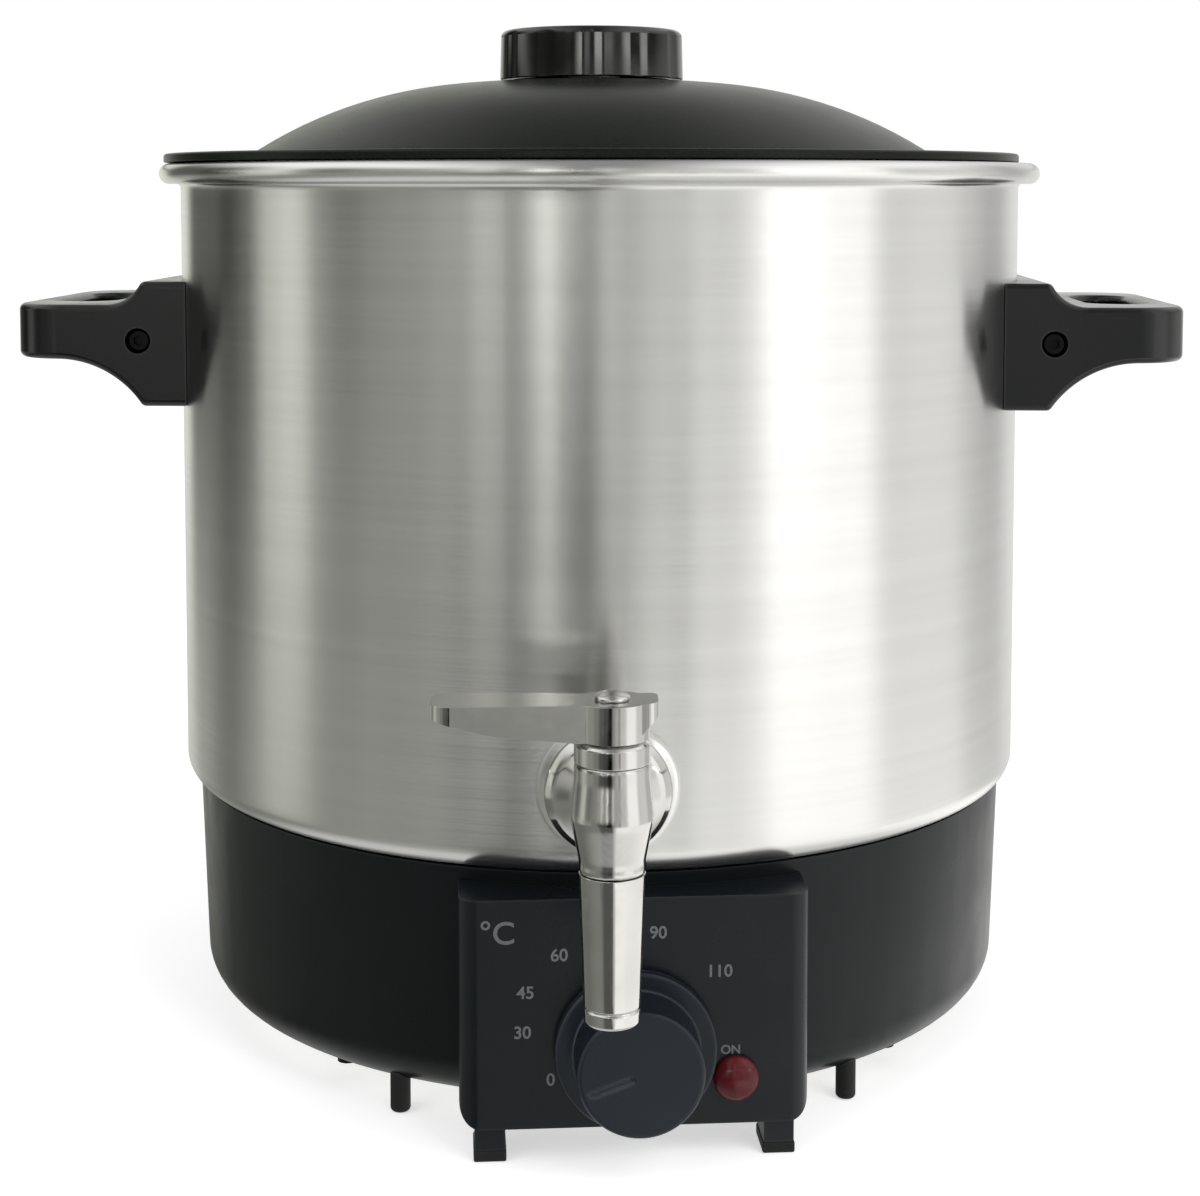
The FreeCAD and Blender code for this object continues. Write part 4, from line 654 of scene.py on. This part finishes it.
def handle_screws():
    """Blackened pan heads with a hexagon socket, sunk in the handles' roots."""
    socket_radius = 1.7
    out, aside, screw_height = 136, 43.4, 208

    def socket(radius, height, around):
        if abs(radius - socket_radius) > 0.01:
            return radius, height
        return radius * math.cos(math.pi / 6) / math.cos(from_middle(around, 6)), height

    outline = eased([
        (0, 1.1), (socket_radius, 1.1), (socket_radius, 2.3), (2.9, 2.3, 0.3), (3.5, 1.6, 0.5),
        (3.55, 0), (2, 0), (2, -11.8), (0, -12),
    ], 4)
    bm = bmesh.new()
    for spin in (0, 180):
        for side in (-1, 1):
            head = lathe("head", outline, even(48), 30, socket)
            place = Matrix.Rotation(math.radians(spin + HANDLE_TURN), 4, "Z")
            spot = (out * MM, side * aside * MM, screw_height * MM)
            place = place @ Matrix.Translation(spot)
            head.transform(place @ Matrix.Rotation(math.radians(-90 * side), 4, "X"))
            bm.from_mesh(head)
    mesh = to_mesh(bm, "screw_heads", 30)
    replace("handle_screws", "handle_screw_heads", mesh, stand(), "black_steel")


# ---- Studio ----

# What polished metal sees round the room: cards as (from, to, brightness), in degrees to the right
# of the front. The left and right lists meet at SIDES_MEET.
SIDES_MEET = -18
LEFT_CARDS = [
    (-180, -152, 0.85), (-144, -124, 0.12), (-120, -106, 0.04), (-99, -96, 0.72),
    (-91, -86, 1.05), (-80, -78, 0.36), (-73, -67, 0.2), (-62, -60, 0.33), (-54, -48, 0.42),
    (-42, -36, 0.6), (-32, -28, 1.0), (-24.5, -22.5, 0.5), (-18.5, -18, 0.8),
]
RIGHT_CARDS = [
    (-18, -17.5, 0.75), (-15.5, -13.5, 1.35), (-11, -10, 0.38), (-7, -4, 0.24), (0, 2, 1.02),
    (6, 14, 0.62), (18, 21, 0.66), (25, 27, 0.88), (31, 33, 0.86), (37, 40, 1.05), (44, 72, 1.65),
    (79, 84, 0.97), (90, 104, 1.04), (113, 116, 0.84), (126, 134, 0.6), (146, 180, 0.85),
]
# The same lower down, and again near the floor.
LOW_LEFT_CARDS = [
    (-180, -150, 0.7), (-142, -136, 0.5), (-124, -116, 0.3), (-109, -107, 0.5), (-99, -94, 0.74),
    (-87, -85, 0.6), (-79, -64, 0.44), (-56, -46, 0.32), (-38, -30, 0.12), (-23, -18, 0.08),
]
LOW_RIGHT_CARDS = [
    (-18, -17, 0.08), (-11, -3, 0.0), (1.5, 5, 0.42), (8, 9, 0.58), (13, 15, 0.7), (20, 21, 0.38),
    (26, 28, 0.95), (33, 35, 0.9), (39, 41, 1.1), (47, 72, 1.6), (82, 110, 1.06),
    (118, 134, 0.75), (146, 180, 0.85),
]
FLOOR_CARDS = [
    (-180, -150, 0.35), (-130, -100, 0.24), (-60, -42, 0.34), (-30, 0, 0.14), (4, 6, 0.8),
    (12, 40, 1.6), (60, 140, 1.5), (165, 180, 0.5),
]
# A dark strip just above the level with bright windows in it, which the lid's knob reflects.
NIGHT_CARDS = [
    (-180, -116, 0.1), (-108, -97, 1.9), (-86, -22, 0.1), (-15, -7, 6.8), (-2, 6, 0.05),
    (13, 23, 2.2), (29, 36, 0.5), (43, 53, 4.8), (62, 84, 0.1), (98, 140, 0.6), (160, 180, 0.45),
]
LEFT_TONE, RIGHT_TONE = Vector((0.98, 1.0, 0.9)), Vector((1.0, 0.995, 0.98))


def floor():
    """A plain pale floor with the object's shadow, which the polished metal doesn't reflect."""
    reach = 6.0
    square = bpy.data.meshes.new("floor")
    corners = [(-reach, -reach, 0), (reach, -reach, 0), (reach, reach, 0), (-reach, reach, 0)]
    square.from_pydata(corners, [], [(0, 1, 2, 3)])
    plane = bpy.data.objects.new("floor", square)
    scene.collection.objects.link(plane)
    plane.location.z = -0.0001  # just under the feet
    plane.visible_glossy = False
    pale = bpy.data.materials.new("floor")
    pale.use_nodes = True
    it = Nodes(pale.node_tree)
    diffuse = it.add("BsdfDiffuse", Color=(0.86, 0.86, 0.86)).outputs[0]
    seen = it.calc("MULTIPLY", it.add("LightPath").outputs["Is Camera Ray"], 0.55)
    glow = it.add("Emission", Color=(1, 1, 1), Strength=seen).outputs[0]
    it.add("OutputMaterial", Surface=it.add("AddShader", i0=diffuse, i1=glow).outputs[0])
    square.materials.append(pale)


def room():
    """The world: white to the camera, cards to what is polished, and plain grey light."""
    world = bpy.data.worlds.new("studio")
    scene.world = world
    world.use_nodes = True
    world.cycles.sampling_method = "NONE"
    it = Nodes(world.node_tree)
    way = it.add("SeparateXYZ", Vector=it.add("TexCoord").outputs["Generated"]).outputs
    around = it.calc("ARCTAN2", way["X"], it.calc("MULTIPLY", way["Y"], -1.0))
    on_right = it.calc("GREATER_THAN", around, math.radians(SIDES_MEET))

    def wall(cards, start=-180, end=180):
        """The room's brightness by direction, with soft steps between the cards."""
        share = it.between(around, 0, 1, math.radians(start), math.radians(end))
        made = it.add("ValToRGB", i0=share)
        elements = made.color_ramp.elements
        elements.remove(elements[-1])
        stops = sorted({(at, level) for first, last, level in cards for at in (first, last)})
        for i, (degrees, level) in enumerate(stops):
            where = (degrees - start) / (end - start)
            element = elements[0] if i == 0 else elements.new(where)
            element.position = where
            tone = LEFT_TONE.lerp(RIGHT_TONE, clamp((degrees + 70) / 110))
            element.color = (*(level * tone), 1)
        return made.outputs[0]

    def sides(left, right):
        return it.tint(on_right, wall(left, -180, SIDES_MEET), wall(right, SIDES_MEET, 180))

    # These steps go by the Z of the direction that is looked in: 0 is level, and -1 straight down.
    lower = it.step(way["Z"], -0.03, -0.26)
    seen = it.tint(lower, sides(LEFT_CARDS, RIGHT_CARDS), sides(LOW_LEFT_CARDS, LOW_RIGHT_CARDS))
    near_floor = it.step(way["Z"], -0.3, -0.36)
    seen = it.tint(near_floor, seen, wall(FLOOR_CARDS))
    night = it.calc("MULTIPLY", it.step(way["Z"], 0.088, 0.1), it.step(way["Z"], 0.14, 0.128))
    seen = it.tint(night, seen, wall(NIGHT_CARDS))
    ceiling = it.between(it.calc("ABSOLUTE", way["X"]), 0.36, 1.45, 0.1, 0.6)
    seen = it.tint(it.step(way["Z"], 0.3, 0.7), seen, ceiling)
    seen = it.tint(it.step(way["Z"], -0.5, -0.8), seen, (0.85, 0.85, 0.84))

    path = it.add("LightPath").outputs
    shiny = it.calc("MAXIMUM", path["Is Glossy Ray"], path["Is Transmission Ray"])
    lit = it.tint(shiny, (0.55, 0.55, 0.55), seen)
    shown = it.tint(path["Is Camera Ray"], lit, (1, 1, 1))
    light = it.add("Background", Color=shown, Strength=1.0).outputs[0]
    it.add("OutputWorld", Surface=light)


def lamps():
    """Two soft lamps from the front, aimed at the melter and out of sight in its metal."""
    aim = Vector((0, 0, 0.12))
    for name, place, size, watts in (
        ("key", (1.1, -1.3, 1.5), 1.2, 16),
        ("fill", (-1.3, -1.0, 1.0), 1.4, 8),
    ):
        lamp = bpy.data.lights.new(name, "AREA")
        lamp.size = size
        lamp.energy = watts
        holder = bpy.data.objects.new(name, lamp)
        scene.collection.objects.link(holder)
        holder.location = place
        holder.rotation_euler = (aim - Vector(place)).to_track_quat("-Z", "Y").to_euler()
        holder.visible_glossy = False


def camera():
    """The photo's camera, fitted to the melter's outline in it. Lengths are metres."""
    tilt, turn = -4.0, -1.018
    data = bpy.data.cameras.new("camera")
    data.lens = 64.33
    data.sensor_width = 36
    data.clip_start = 0.01
    data.shift_y = -0.219
    made = bpy.data.objects.new("camera", data)
    scene.collection.objects.link(made)
    made.location = (-0.0119, POT_Y * MM - 0.6798, 0.2545)
    made.rotation_euler = (math.radians(90 + tilt), 0, math.radians(turn))
    scene.camera = made


pot()
lid()
for name, width in SOFT.items():
    soften(name, width)
knob()
dial()
lamp_cap()
tap_casting()
handle_screws()
panel_print()

floor()
room()
lamps()
camera()
scene.view_settings.view_transform = "Standard"
